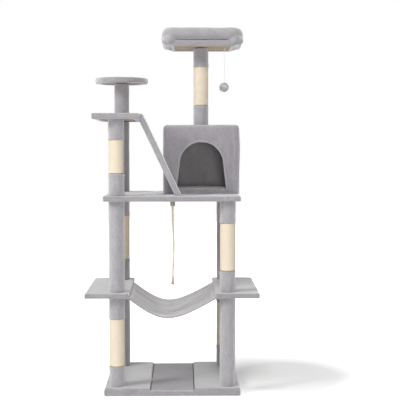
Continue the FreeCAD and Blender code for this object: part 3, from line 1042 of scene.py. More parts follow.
@dataclass
class Base(CoveredBoard):
    """The base: a covered board with a felt mat let into its top."""

    name: str = "base"
    seed: float = 3.0
    rim: float = 0.0085
    rim_steps: int = 9
    padding: float = 0.0048
    gap: float = 0.0042
    felt: float = 0.0011
    gap_shade_sheet: float = 0.0007

    def layer(self, size: Vector, middle: Vector, edge: float, corner: float) -> Mesh:
        """A flat layer that bends down over the base's front and back.

        Args:
            size: its size while it is flat.
            middle: where it is.
            edge: the base's front and back, from its middle.
            corner: the radius of its corners.

        Returns:
            Its mesh, in place.
        """
        start = edge - self.rim
        mesh = block(size, corner, size.z * 0.4, 0.012)
        cross_cut(mesh, 1, *[sign * (start + self.rim * step / 6) for sign in (-1, 1) for step in range(6)])
        soften(mesh, 0.0007, 0.06, 9.0)
        for vert in mesh.verts:
            past = max(0.0, abs(vert.co.y) - start)
            vert.co.z -= self.rim - math.sqrt(max(0.0, self.rim**2 - past**2))
        lift(mesh, middle)
        return mesh

    def build(self) -> list[Thing]:
        """Make the wrap, its staples, the mat and a near-black sheet under it, whose colour is painted shade
        in the gaps beside the mat.

        Returns:
            The pieces.
        """
        middle, size, low = span("base_mat")
        self.slot_width = size.x + 0.0006
        made = super().build()
        edge = span("base_cover")[1].y / 2
        long = 2 * edge - 0.001
        top = low.z + size.z
        felt = Vector((size.x - 2 * self.gap, long, self.felt))
        mat = self.layer(felt, Vector((middle.x, middle.y, top - self.felt / 2)), edge, 0.002)
        mat = piece("felt_floor_mat", mat, MAT_FELT, "felt_mat", "base_mat")
        # a near-black sheet under the mat paints the shade in the gaps beside it
        sheet = Vector((size.x, long - 0.001, self.gap_shade_sheet))
        under = top - self.felt - self.gap_shade_sheet / 2 + 0.0001
        gap_shade_sheet = self.layer(sheet, Vector((middle.x, middle.y, under)), edge, 0.0004)
        return [*made, mat, piece("mat_gap_shade", gap_shade_sheet, MAT_GAP_SHADE, "felt_mat")]


# ---- posts --------------------------------------------------------------------------


@dataclass
class Post:
    """A post: a sewn plush sleeve, and on some a band of wound sisal."""

    name: str
    seam: float
    seed: float
    banded: bool = False
    wall: float = 0.005
    rim: float = 0.003
    steps: int = 92
    cell: float = 0.012
    turn_height: float = 0.0051
    turn_steps: int = 44
    cord_radius: float = 0.0027
    swell: float = 0.0012
    groove: float = 0.0018

    def sleeve_mesh(self, middle: Vector, size: Vector, stretches: list[tuple[float, float]]) -> Mesh:
        """Shape the sleeve's stretches.

        Args:
            middle: the post's axis.
            size: the sleeve's size.
            stretches: foot and top of each stretch.

        Returns:
            Their mesh, in place.
        """
        outer = size.x / 2
        inner = outer - self.wall
        mesh = bmesh.new()
        for foot, top in stretches:
            lathe(mesh, [(inner, foot), (outer, foot), (outer, top), (inner, top)], self.steps)
        for level in [end for stretch in stretches for end in stretch]:
            round_rim(mesh, level, outer, self.rim)
        for foot, top in stretches:
            slice_up(mesh, 2, foot, top, self.cell)
        soften(mesh, 0.0009, 0.045, self.seed, lambda co: float(co.xy.length > inner + 0.001))
        # the sleeve swells where it is cut for the sisal
        mouths = (stretches[0][1], stretches[-1][0]) if self.banded else ()
        for vert in mesh.verts:
            reach = vert.co.xy.length
            if reach < inner + 0.001:
                continue
            nearness = (1 - smooth_step(0.004, 0.022, abs(vert.co.z - level)) for level in mouths)
            swell = self.swell * sum(nearness)
            turn = math.atan2(vert.co.y, vert.co.x) - self.seam
            gap = abs(math.remainder(turn, math.tau)) * outer
            groove = self.groove * (1 - smooth_step(0.0, 0.005, gap))
            vert.co.xy *= 1 + (swell - groove) / reach
        lift(mesh, Vector((middle.x, middle.y, 0)))
        return mesh

    def wrap_mesh(self, middle: Vector, size: Vector, low: Vector) -> tuple[Mesh, float]:
        """Wind the sisal.

        Args:
            middle: the post's axis.
            size: the band's size.
            low: the band's lowest corner.

        Returns:
            Its mesh, in place, and the height of a turn.
        """
        mesh = bmesh.new()
        ring = bmesh.ops.create_circle(mesh, segments=8, radius=self.cord_radius)["verts"]
        reach = size.x / 2 - self.cord_radius + 0.0004
        start = Matrix.Translation((reach, 0, low.z + self.cord_radius))
        bmesh.ops.transform(mesh, matrix=start @ Matrix.Rotation(math.pi / 2, 4, "X"), verts=ring)
        rise = size.z - 2 * self.cord_radius
        turns = max(1, round(rise / self.turn_height))
        pitch = rise / turns
        bmesh.ops.spin(
            mesh, geom=ring + mesh.edges[:], cent=(0, 0, 0), axis=UP, angle=math.tau,
            dvec=UP * pitch / self.turn_steps, steps=self.turn_steps,
        )
        first = whole(mesh)
        for turn in range(1, turns):
            copied = bmesh.ops.duplicate(mesh, geom=first)["geom"]
            bmesh.ops.translate(mesh, vec=UP * pitch * turn, verts=verts_of(copied))
        bmesh.ops.remove_doubles(mesh, verts=mesh.verts, dist=1e-5)
        close_ends(mesh)
        for vert in mesh.verts:
            turn = math.atan2(vert.co.y, vert.co.x)
            where = polar(2, turn, vert.co.z * 260 + self.seed * 9)
            vert.co.xy *= 1 + 0.011 * noise.noise(where)
            vert.co.z += 0.0004 * noise.noise(where + Vector((9, 0, 0)))
        lift(mesh, Vector((middle.x, middle.y, 0)))
        return mesh, pitch

    def build(self) -> list[Thing]:
        """Make the sleeve and the band.

        Returns:
            The pieces.
        """
        middle, size, low = span(f"{self.name}_post_sleeve")
        stretches = [(low.z, low.z + size.z)]
        made = []
        if self.banded:
            band = f"{self.name}_sisal_wrap"
            band_middle, band_size, band_low = span(band)
            stretches = [(low.z, band_low.z), (band_low.z + band_size.z, low.z + size.z)]
            mesh, pitch = self.wrap_mesh(band_middle, band_size, band_low)
            finish = Sisal(f"sisal_{self.name}", tuple(Vector((middle.x, middle.y, band_low.z))), pitch)
            made.append(piece(f"{self.name}_sisal_winding", mesh, finish, "sisal", band))
        sleeve = self.sleeve_mesh(middle, size, stretches)
        node = f"{self.name}_post_sleeve"
        return [*made, piece(f"{self.name}_plush_sleeve", sleeve, POST_PLUSH, "grey_plush", node)]


@dataclass
class Fasteners:
    """The bolts that hold the posts: flat heads with hex sockets, and plain shanks."""

    head_radius: float = 0.009
    head_height: float = 0.005
    socket: float = 0.0036
    shank_radius: float = 0.004
    shank_length: float = 0.035
    recess: float = 0.0095
    chamfer: float = 0.0009
    socket_depth: float = 0.003

    def rod(self, mesh: Mesh, radius: float, length: float, segments: int, where: Matrix) -> None:
        """Add a closed cylinder, with its middle at a place."""
        bmesh.ops.create_cone(
            mesh, cap_ends=True, segments=segments, radius1=radius, radius2=radius, depth=length, matrix=where
        )

    def bolt(self, mesh: Mesh, spot: Vector, up: bool) -> None:
        """Add a bolt.

        Args:
            mesh: the mesh that it is added to.
            spot: the inner face of its head.
            up: whether its shank goes up.
        """
        own = bmesh.new()
        self.rod(own, self.head_radius, self.head_height, 24, Matrix.Identity(4))
        face = max(own.faces, key=lambda f: f.calc_center_median().z)
        round_off(own, list(face.edges), self.chamfer, 3)
        face = max(own.faces, key=lambda f: f.calc_area() * (f.calc_center_median().z > 0))
        bmesh.ops.inset_region(own, faces=[face], thickness=self.head_radius - self.chamfer - self.socket)
        for vert in face.verts:
            turn = math.atan2(vert.co.y, vert.co.x)
            corner = math.remainder(turn, math.pi / 3)
            vert.co.xy = vert.co.xy.normalized() * self.socket / math.cos(corner) * 0.92
        press(own, [face], UP * -self.socket_depth)
        shank = Matrix.Translation(UP * -(self.head_height + self.shank_length) / 2)
        self.rod(own, self.shank_radius, self.shank_length, 16, shank)
        lift(own, UP * self.head_height / 2)
        if up:
            bmesh.ops.rotate(own, verts=own.verts, matrix=Matrix.Rotation(math.pi, 3, "X"))
        lift(own, spot)
        data = poured(own, "bolt")
        mesh.from_mesh(data)
        bpy.data.meshes.remove(data)

    def build(self) -> list[Thing]:
        """Make the bolts.

        Returns:
            The pieces.
        """
        mesh = bmesh.new()
        for side in ("left", "right"):
            for row in ("front", "back"):
                foot = span(f"{row}_{side}_lower_post_sleeve")[0]
                self.bolt(mesh, Vector((foot.x, foot.y, self.recess)), True)
        tops = [("front_right_middle", "deck"), ("back_right_middle", "deck"), ("front_left_upper", "perch"),
                ("top_left", "round_perch"), ("bed", "bed")]
        for post, board in tops:
            spot = span(f"{post}_post_sleeve")[0]
            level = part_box(f"{board}_cover")[1].z - self.head_height + 0.0004
            self.bolt(mesh, Vector((spot.x, spot.y, level)), False)
        spot = span("bed_post_sleeve")[0]
        self.bolt(mesh, Vector((spot.x, spot.y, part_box("house_roof_board")[0].z)), True)
        return [piece("hex_socket_bolts", mesh, STEEL, "zinc_steel", "post_bolts")]


# ---- hammock ------------------------------------------------------------------------


@dataclass
class Hammock:
    """A plush sheet screwed under the two platforms, with rolled front and back hems."""

    gap: float = 0.380
    depth: float = 0.460
    drop: float = 0.084
    low_x: float = -0.020
    thick: float = 0.005
    flap: float = 0.018
    hem_radius: float = 0.0034
    end_fold: float = 0.0042
    end_pitch: float = 0.115
    long_fold: float = 0.0085
    fine_fold: float = 0.0016
    sag: float = 0.006
    left_bend: tuple[float, float] = (1.35, 0.50)
    right_bend: tuple[float, float] = (1.20, 0.35)
    along: int = 96
    across: int = 84

    def __post_init__(self) -> None:
        """Lay out the middle of the sheet, from its left end to its right end."""
        reach = self.gap / 2 + self.flap
        steps = 240
        self.profile = [Vector((x, self.height(x))) for x in
                        [reach * (2 * step / steps - 1) for step in range(steps + 1)]]
        self.travelled = [0.0]
        for here, after in zip(self.profile, self.profile[1:]):
            self.travelled.append(self.travelled[-1] + (after - here).length)

    def height(self, x: float) -> float:
        """How high the sheet's middle runs, from the platforms' undersides.

        Args:
            x: place along the tree.

        Returns:
            The height, in metres.
        """
        side = 1 if x > self.low_x else -1
        run = abs(side * self.gap / 2 - self.low_x)
        power, lull = self.right_bend if side > 0 else self.left_bend
        # nearly straight towards the platforms, and round at the low point
        share = min(1.0, abs(x - self.low_x) / run)
        least, most = lull**power, math.hypot(1.0, lull) ** power
        rise = (math.hypot(share, lull) ** power - least) / (most - least)
        return -self.thick / 2 - self.drop * (1 - rise)

    def cut_length(self) -> float:
        """How long the sheet was cut."""
        return self.travelled[-1]

    def point(self, share: float) -> Vector:
        """Where the middle of the sheet runs.

        Args:
            share: from 0 at the left end to 1 at the right end.

        Returns:
            Its X, and its height under the platforms.
        """
        travel = share * self.cut_length()
        index = min(bisect.bisect_right(self.travelled, travel), len(self.travelled) - 1)
        before, after = self.travelled[index - 1], self.travelled[index]
        part = min(1.0, max(0.0, (travel - before) / (after - before)))
        return self.profile[index - 1].lerp(self.profile[index], part)

    def ripple(self, share: float, y: float) -> float:
        """How far folds lift or lower the sheet.

        Args:
            share: place along the sheet.
            y: place across it.

        Returns:
            The height, in metres.
        """
        length = self.cut_length()
        from_end = max(0.0, min(share, 1 - share) * length - self.flap)
        free = smooth_step(0.0, 0.02, from_end)
        near = math.exp(-from_end / 0.055)
        pull = math.cos(math.tau * y / self.end_pitch + 1.3 * noise.noise(Vector((y * 9, share * 3, 4))))
        long_fold = noise.noise(Vector((share * 1.3, y * 19, 7.0)))
        fine = noise.noise(Vector((share * 9, y * 34, 2.0)))
        edge = smooth_step(0.17, 0.23, abs(y))
        sag = self.sag * (1 - (2 * y / self.depth) ** 2)
        folds = self.end_fold * near * pull + self.long_fold * long_fold + self.fine_fold * fine
        return free * (folds * (1 - 0.75 * edge) - sag)

    def build(self) -> list[Thing]:
        """Make the sheet and its hems.

        Returns:
            The pieces.
        """
        middle, size, low = span("hammock_cloth")
        under = low.z + size.z
        mesh = bmesh.new()
        bmesh.ops.create_grid(mesh, x_segments=self.along, y_segments=self.across, size=0.5)
        for vert in mesh.verts:
            share, y = vert.co.x + 0.5, vert.co.y * self.depth
            x, z = self.point(share)
            vert.co = Vector((x, y + middle.y, under + z + self.ripple(share, y)))
        rims = {sign: [] for sign in (-1, 1)}
        for vert in mesh.verts:
            side = 1 if vert.co.y > middle.y else -1
            if abs(vert.co.y - middle.y) > self.depth / 2 - 1e-5:
                rims[side].append(vert.co.copy())
        face_out(mesh)
        bmesh.ops.solidify(mesh, geom=mesh.faces[:], thickness=self.thick - 0.0008)
        face_out(mesh)
        shift = under - 0.0006 - max(v.co.z for v in mesh.verts if abs(v.co.x) > self.gap / 2 + 0.004)
        lift(mesh, UP * shift)
        sheet = piece("hammock_sheet", mesh, LOOSE_PLUSH, "grey_plush", "hammock_cloth")
        hems = []
        for sign, word in ((-1, "front"), (1, "back")):
            line = sorted(rims[sign], key=lambda co: co.x)
            line = [co + UP * (shift - self.thick / 2) for co in line if abs(co.x) < self.gap / 2 + 0.012]
            name = f"hammock_{word}_hem"
            hem = cords_mesh(name, [line], self.hem_radius, 3)
            hems.append(piece(name, hem, LOOSE_PLUSH, "grey_plush"))
        return [sheet, *hems]


# ---- ramp ---------------------------------------------------------------------------


@dataclass
class Ramp:
    """The leaning plank, cut level at the deck and plumb at the perch."""

    rim: float = 0.0055
    cell: float = 0.014
    foot_run: float = 0.154
    head_drop: float = 0.035

    def build(self) -> list[Thing]:
        """Make the plank in its wrap.

        Returns:
            The pieces.
        """
        _, size, low = span("ramp_cover")
        high = low + size
        rise = size.z - self.head_drop
        lean = math.atan2(self.foot_run, rise)
        # the level cut is thicker than the plank by its slant
        thick = (size.x - self.foot_run) * math.cos(lean)
        mesh = bmesh.new()
        bmesh.ops.create_cube(mesh, size=1.0)
        bmesh.ops.scale(mesh, vec=(thick, size.y, 3 * rise), verts=mesh.verts)
        bmesh.ops.rotate(mesh, verts=mesh.verts, matrix=Matrix.Rotation(-lean, 3, "Y"))
        lift(mesh, Vector((low.x + self.foot_run / 2, low.y + size.y / 2, low.z + rise / 2)))
        lift(mesh, Vector((math.cos(lean), 0, math.sin(lean))) * thick / 2)
        for spot, away in ((low, -UP), (low, Vector((-1, 0, 0))), (high, UP)):
            bmesh.ops.bisect_plane(mesh, geom=whole(mesh), plane_co=spot, plane_no=away, clear_outer=True)
            close_ends(mesh)
        sharp = [e for e in mesh.edges if e.calc_face_angle(0.0) > 0.2]
        round_off(mesh, sharp, self.rim, 4)
        for axis in (1, 2):
            slice_up(mesh, axis, low[axis], high[axis], self.cell)
        soften(mesh, 0.0012, 0.06, 21.0)
        for vert in mesh.verts:
            vert.co.z = max(vert.co.z, low.z - 0.0004)
        return [piece("ramp_plush_wrap", mesh, LOOSE_PLUSH, "grey_plush", "ramp_cover")]


# ---- house --------------------------------------------------------------------------


@dataclass
class House:
    """The soft-cornered house: a loose plush skin, a lined inside and a rolled doorway."""

    corner: float = 0.018
    skin: float = 0.0035
    board: float = 0.006
    lining: float = 0.002
    floor: float = 0.020
    door_radius: float = 0.100
    door_foot: float = 0.115
    trim: float = 0.005
    roll_width: float = 0.0042
    roll_depth: float = 0.0085
    cell: float = 0.0105
    fold_cell: float = 0.0042
    belly: float = 0.0022
    fold_depth: float = 0.0022
    fold_pitch: float = 0.026

    def shell(
        self, middle: Vector, size: Vector, corner: float, thick: float, fullness: float = 1.0
    ) -> Mesh:
        """A box with round upright and top edges, open below.

        Args:
            middle: its middle.
            size: its size outside.
            corner: the radius of its edges.
            thick: the thickness of its sides.
            fullness: how far it stands out; less than nothing for a lining, which hangs inwards.

        Returns:
            Its mesh, in place.
        """
        mesh = box_mesh(size, corner, 6)
        round_off(mesh, flat_edges(mesh, size.z / 2), corner, 6)
        bottom = [f for f in mesh.faces if f.calc_center_median().z < -size.z / 2 + 1e-6]
        bmesh.ops.delete(mesh, geom=bottom, context="FACES_ONLY")
        for axis in range(3):
            slice_up(mesh, axis, -size[axis] / 2, size[axis] / 2, self.cell)
        slice_up(mesh, 0, size.x * 0.27, size.x * 0.47, self.fold_cell)
        weld(mesh, 2e-5)
        face_out(mesh)
        self.drape(mesh, size, fullness)
        bmesh.ops.solidify(mesh, geom=mesh.faces[:], thickness=thick)
        face_out(mesh)
        lift(mesh, middle)
        return mesh

    def drape(self, mesh: Mesh, size: Vector, fullness: float) -> None:
        """Loosen the skin: fuller in the middle of each side, with upright puckers.

        Args:
            mesh: the skin, centred on the origin.
            size: its size.
            fullness: how far it stands out.
        """
        mesh.normal_update()
        half = size / 2
        for vert in mesh.verts:
            x, y, z = (vert.co[i] / half[i] for i in range(3))
            full = (1 - z**4) * self.belly * (1 - min(1.0, abs(x * y)) ** 4)
            upright = noise.noise(Vector((vert.co.x * 34, vert.co.y * 34, vert.co.z * 7)))
            broad = noise.noise(vert.co * 11 + Vector((4, 1, 8)))
            # the right side and the corners hang loosest
            loose = 0.0008 + 0.0030 * smooth_step(0.80, 1.0, x) + 0.0008 * smooth_step(0.9, 1.0, abs(x))
            keep = 1 - smooth_step(0.96, 1.0, -z)
            hang = 1 - 0.6 * smooth_step(0.8, 1.0, z)
            bend = 1.6 * noise.noise(Vector((0, 3, vert.co.z * 8)))
            fold = math.cos(math.tau * vert.co.x / self.fold_pitch + bend) * smooth_step(0.55, 0.72, x)
            fold *= self.fold_depth * (0.55 - 0.45 * z) * (y < -0.9)
            reach = full + (upright * loose + fold) * hang + broad * 0.0012
            vert.co += vert.normal * reach * keep * fullness

    def arch(self, mesh: Mesh, start: list, angle: float, steps: int) -> list:
        """Sweep points or edges over the doorway's round top.

        Args:
            mesh: the mesh.
            start: the points or edges, at the right end of the round.
            angle: where the round meets the straight sides.
            steps: how many faces go over it.

        Returns:
            The points and edges at the left end.
        """
        across, sweep = Vector((0, 1, 0)), 2 * angle - math.pi
        swept = bmesh.ops.spin(mesh, geom=start, cent=(0, 0, 0), axis=across, angle=sweep, steps=steps)
        return swept["geom_last"]

    def doorway(self, centre: Vector, margin: float, start_y: float, depth: float) -> Mesh:
        """A prism of the doorway: a round top over sides that flare.

        Args:
            centre: the centre of its round top.
            margin: how far it is grown.
            start_y: where it starts.
            depth: how deep it is.

        Returns:
            Its mesh, in place.
        """
        radius, foot, side, angle = self.arch_sizes(centre, margin)
        mesh = bmesh.new()
        first = mesh.verts.new((radius * math.cos(angle), 0, radius * math.sin(angle)))
        last = verts_of(self.arch(mesh, [first], angle, 48))[0]
        feet = [mesh.verts.new((sign * foot, 0, -side)) for sign in (1, -1)]
        for pair in ((first, feet[0]), (feet[0], feet[1]), (feet[1], last)):
            mesh.edges.new(pair)
        bmesh.ops.edgeloop_fill(mesh, edges=mesh.edges[:])
        faces = mesh.faces[:]
        grown = bmesh.ops.extrude_face_region(mesh, geom=faces, use_keep_orig=True)["geom"]
        bmesh.ops.translate(mesh, vec=(0, depth, 0), verts=verts_of(grown))
        face_out(mesh)
        lift(mesh, Vector((centre.x, start_y, centre.z)))
        return mesh

    def arch_sizes(self, centre: Vector, margin: float) -> tuple[float, float, float, float]:
        """Lay out the doorway.

        Args:
            centre: the centre of its round top.
            margin: how far it is grown.

        Returns:
            Its radius, half width at its foot, height of its sides and tangent angle.
        """
        radius = self.door_radius + margin
        foot = self.door_foot + margin
        side = centre.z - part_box("house_door_trim")[0].z
        angle = math.acos(radius / math.hypot(foot, side)) - math.atan2(side, foot)
        return radius, foot, side, angle

    def cut_door(self, made: Thing, cutter: Mesh) -> None:
        """Cut the doorway out of a piece.

        Args:
            made: the piece.
            cutter: the doorway's prism, which is freed.
        """
        tool = placed("doorway", poured(cutter, "doorway"))
        cut = made.modifiers.new("Doorway", "BOOLEAN")
        cut.operation = "DIFFERENCE"
        cut.solver = "EXACT"
        cut.object = tool
        settle(made)
        bpy.data.objects.remove(tool)
        made.data.shade_smooth()
        made.data.set_sharp_from_angle(angle=math.radians(50))

    def door_roll(self, centre: Vector, front: float) -> Mesh:
        """The stuffed roll that edges the doorway.

        Args:
            centre: the centre of the doorway's round top.
            front: the front face of the house.

        Returns:
            Its mesh, in place.
        """
        radius, foot, side, angle = self.arch_sizes(centre, self.trim / 2)
        mesh = bmesh.new()
        ring = bmesh.ops.create_circle(mesh, segments=14, radius=1.0)["verts"]
        bmesh.ops.scale(mesh, vec=(self.roll_width, self.roll_depth, 1), verts=ring)
        bmesh.ops.rotate(mesh, verts=ring, matrix=Matrix.Rotation(-angle, 3, "Y"))
        start = Vector((radius * math.cos(angle), 0, radius * math.sin(angle)))
        bmesh.ops.translate(mesh, vec=start, verts=ring)
        first = mesh.edges[:]
        last = edges_of(self.arch(mesh, ring + first, angle, 64))
        fall = Vector((foot, 0, -side - 0.004)) - start
        for loop, sign in ((first, 1), (last, -1)):
            for _ in range(8):
                grown = bmesh.ops.extrude_edge_only(mesh, edges=loop)["geom"]
                loop = [e for e in edges_of(grown) if e.is_boundary]
                step = Vector((sign * fall.x, 0, fall.z)) / 8
                bmesh.ops.translate(mesh, vec=step, verts=verts_of(grown))
        close_ends(mesh)
        soften(mesh, 0.0009, 0.024, 33.0)
        lift(mesh, Vector((centre.x, front + self.roll_depth * 0.42, centre.z)))
        return mesh

    def build(self) -> list[Thing]:
        """Make the skin, the lining, the floor and the doorway's roll.

        Returns:
            The pieces.
        """
        middle, size, low = span("house_cover")
        trim_low, trim_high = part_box("house_door_trim")
        centre = Vector((middle.x, 0, trim_high.z - self.trim - self.door_radius))
        skin = self.shell(middle, size, self.corner, self.skin)
        skin = piece("house_plush_skin", skin, HOUSE_PLUSH, "grey_plush", "house_cover")
        inset = self.skin + self.board + 0.0006
        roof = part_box("house_roof_board")[0].z
        floor_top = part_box("house_floor_board")[1].z
        inside = Vector((size.x - 2 * inset, size.y - 2 * inset, roof - floor_top - 0.0006))
        inside_middle = Vector((middle.x, middle.y, floor_top + inside.z / 2))
        lining = self.shell(inside_middle, inside, self.corner - inset, self.lining, -0.4)
        lining = piece("house_lining", lining, LINING_PLUSH, "grey_plush")
        for layer in (skin, lining):
            self.cut_door(layer, self.doorway(centre, self.trim * 0.6, low.y - 0.02, 0.05))
        rug_size = Vector((inside.x - 2 * self.lining - 0.001, inside.y - 2 * self.lining - 0.001, 0.004))
        rug = block(rug_size, self.corner - inset, 0.0015, 0.014)
        soften(rug, 0.0008, 0.05, 12.0)
        lift(rug, Vector((middle.x, middle.y, floor_top + 0.0022)))
        rug = piece("house_floor_plush", rug, LINING_PLUSH, "grey_plush")
        sill_depth = inset + self.lining + 0.004
        sill = block(Vector((2 * self.door_foot + 2 * self.trim, sill_depth, 0.0026)), 0.001, 0.0009, 0.012)
        soften(sill, 0.0005, 0.03, 17.0)
        lift(sill, Vector((middle.x, low.y + sill_depth / 2, trim_low.z + 0.0009)))
        sill = piece("door_plush_sill", sill, HOUSE_PLUSH, "grey_plush")
        roll = self.door_roll(centre, low.y)
        roll = piece("door_plush_roll", roll, LOOSE_PLUSH, "grey_plush", "house_door_trim")
        return [skin, lining, rug, sill, roll]


# ---- bed ----------------------------------------------------------------------------


@dataclass
class Bed:
    """The bed on top: a stuffed bolster round a pad, on a covered board."""

    voxel: float = 0.005
    inset: float = 0.004
    cap: float = 0.009
    pad_inset: float = 0.002
    pad_cap: float = 0.010
    filler_radius: float = 0.029
    gather: float = 0.0026
    softness: float = 0.0016
    bite: float = 0.0008
    side_bite: float = 0.0034

    def stuffed(
        self, name: str, node: str, shrink: float, cap: float,
        fillers: Iterable[tuple[Vector, float, float]] = (),
    ) -> Thing:
        """A stuffed piece in the space that a node holds.

        Args:
            name: the piece's name.
            node: the node.
            shrink: how much smaller it starts.
            cap: how far it may swell.
            fillers: extra stuffing, each a middle, a radius and half its length in Y.

        Returns:
            The piece.
        """
        mesh = bmesh.new()
        mesh.from_mesh(FRAME["nodes"][node].data)
        bmesh.ops.remove_doubles(mesh, verts=mesh.verts, dist=1e-5)
        face_out(mesh)
        mesh.normal_update()
        for vert in mesh.verts:
            vert.co -= vert.normal * shrink
        for spot, radius, reach in fillers:
            bmesh.ops.create_uvsphere(
                mesh, u_segments=24, v_segments=16, radius=radius,
                matrix=Matrix.Translation(spot) @ Matrix.Diagonal((1, reach / radius, 1, 1)),
            )
        made = piece(name, mesh, LOOSE_PLUSH, "grey_plush", node)
        puff(made, self.voxel, cap)
        return made

    def crease(self, made: Thing, middle: Vector, size: Vector, board_top: float) -> None:
        """Sew and wrinkle the bolster.

        Args:
            made: the bolster.
            middle: its middle.
            size: its size.
            board_top: top of the board that it stands on.
        """
        seam = board_top + 0.003
        for vert in made.data.vertices:
            co = vert.co
            out = Vector(((co.x - middle.x) / (size.x / 2), (co.y - middle.y) / (size.y / 2), 0))
            turn = math.atan2(out.y, out.x)
            away = Vector((out.x, out.y, 0)).normalized()
            # gathers run up from the seam and are deepest at the corners
            corner = abs(math.sin(2 * turn)) ** 2
            low_share = 1 - smooth_step(seam, seam + 0.045, co.z)
            gather = noise.noise(polar(13, turn, co.z * 9))
            soft = noise.noise(co * 17 + Vector((3, 5, 7)))
            push = self.gather * gather * low_share * (0.35 + corner) + self.softness * soft
            # the seam bites deepest along the front and back
            long_side = smooth_step(0.70, 0.86, abs(out.y)) * (1 - smooth_step(0.66, 0.76, abs(out.x)))
            bite = self.bite + self.side_bite * long_side
            groove = bite * max(0.0, 1 - abs(co.z - seam) / 0.0042)
            vert.co = co + away * (push - groove) + UP * 0.0010 * soft
        made.data.update()

    def build(self) -> list[Thing]:
        """Make the bolster and the pad.

        Returns:
            The pieces.
        """
        middle, size, _ = span("bed_bolster")
        board_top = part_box("bed_cover")[1].z
        reach = size.x / 2
        thick = self.filler_radius
        fillers = [(Vector((middle.x + across * (reach - 0.033), middle.y, board_top + 0.008)), thick, 0.118)
                   for across in (-1, 1)]
        for across, along in itertools.product((-1, 1), repeat=2):
            x, y = middle.x + across * (reach - 0.041), middle.y + along * 0.109
            fillers.append((Vector((x, y, board_top + 0.004)), thick, thick))
        bolster = self.stuffed("bed_stuffed_bolster", "bed_bolster", self.inset, self.cap, fillers)
        self.crease(bolster, middle, size, board_top)
        pad = self.stuffed("bed_stuffed_pad", "bed_pad", self.pad_inset, self.pad_cap)
        return [bolster, pad]


# ---- hanging toys -------------------------------------------------------------------


def ring_mesh(size: Vector, bore: float, rim: float, steps: int, segments: int = 4) -> Mesh:
    """A ring that stands on the origin, with a round lower rim.

    Args:
        size: its size.
        bore: the radius of its hole.
        rim: the radius of the round.
        steps: how many faces go round the ring.
        segments: how many faces make the round.

    Returns:
        The mesh.
    """
    mesh = bmesh.new()
    half = size.x / 2
    lathe(mesh, [(bore, 0), (half, 0), (half, size.z), (bore, size.z)], steps)
    round_rim(mesh, 0.0, half, rim, segments)
    return mesh


def knot_mesh(node: str, sides: int) -> bpy.types.Mesh:
    """A stopper knot in the space of a node: one cord, turned twice round and three times through.

    Args:
        node: the knot's node.
        sides: how round the cord is.

    Returns:
        The mesh.
    """
    middle, size, _ = span(node)
    radius = size.x / 2
    ring, swing, over = radius * 0.42, radius * 0.24, radius * 0.55
    steps = 96
    points = []
    for step in range(steps + 1):
        turn = math.tau * step / steps
        reach = ring + swing * math.cos(3 * turn)
        points.append(middle + polar(reach, 2 * turn, over * math.sin(3 * turn)))
    return cords_mesh("knot", [points], size.x * 0.165, sides)


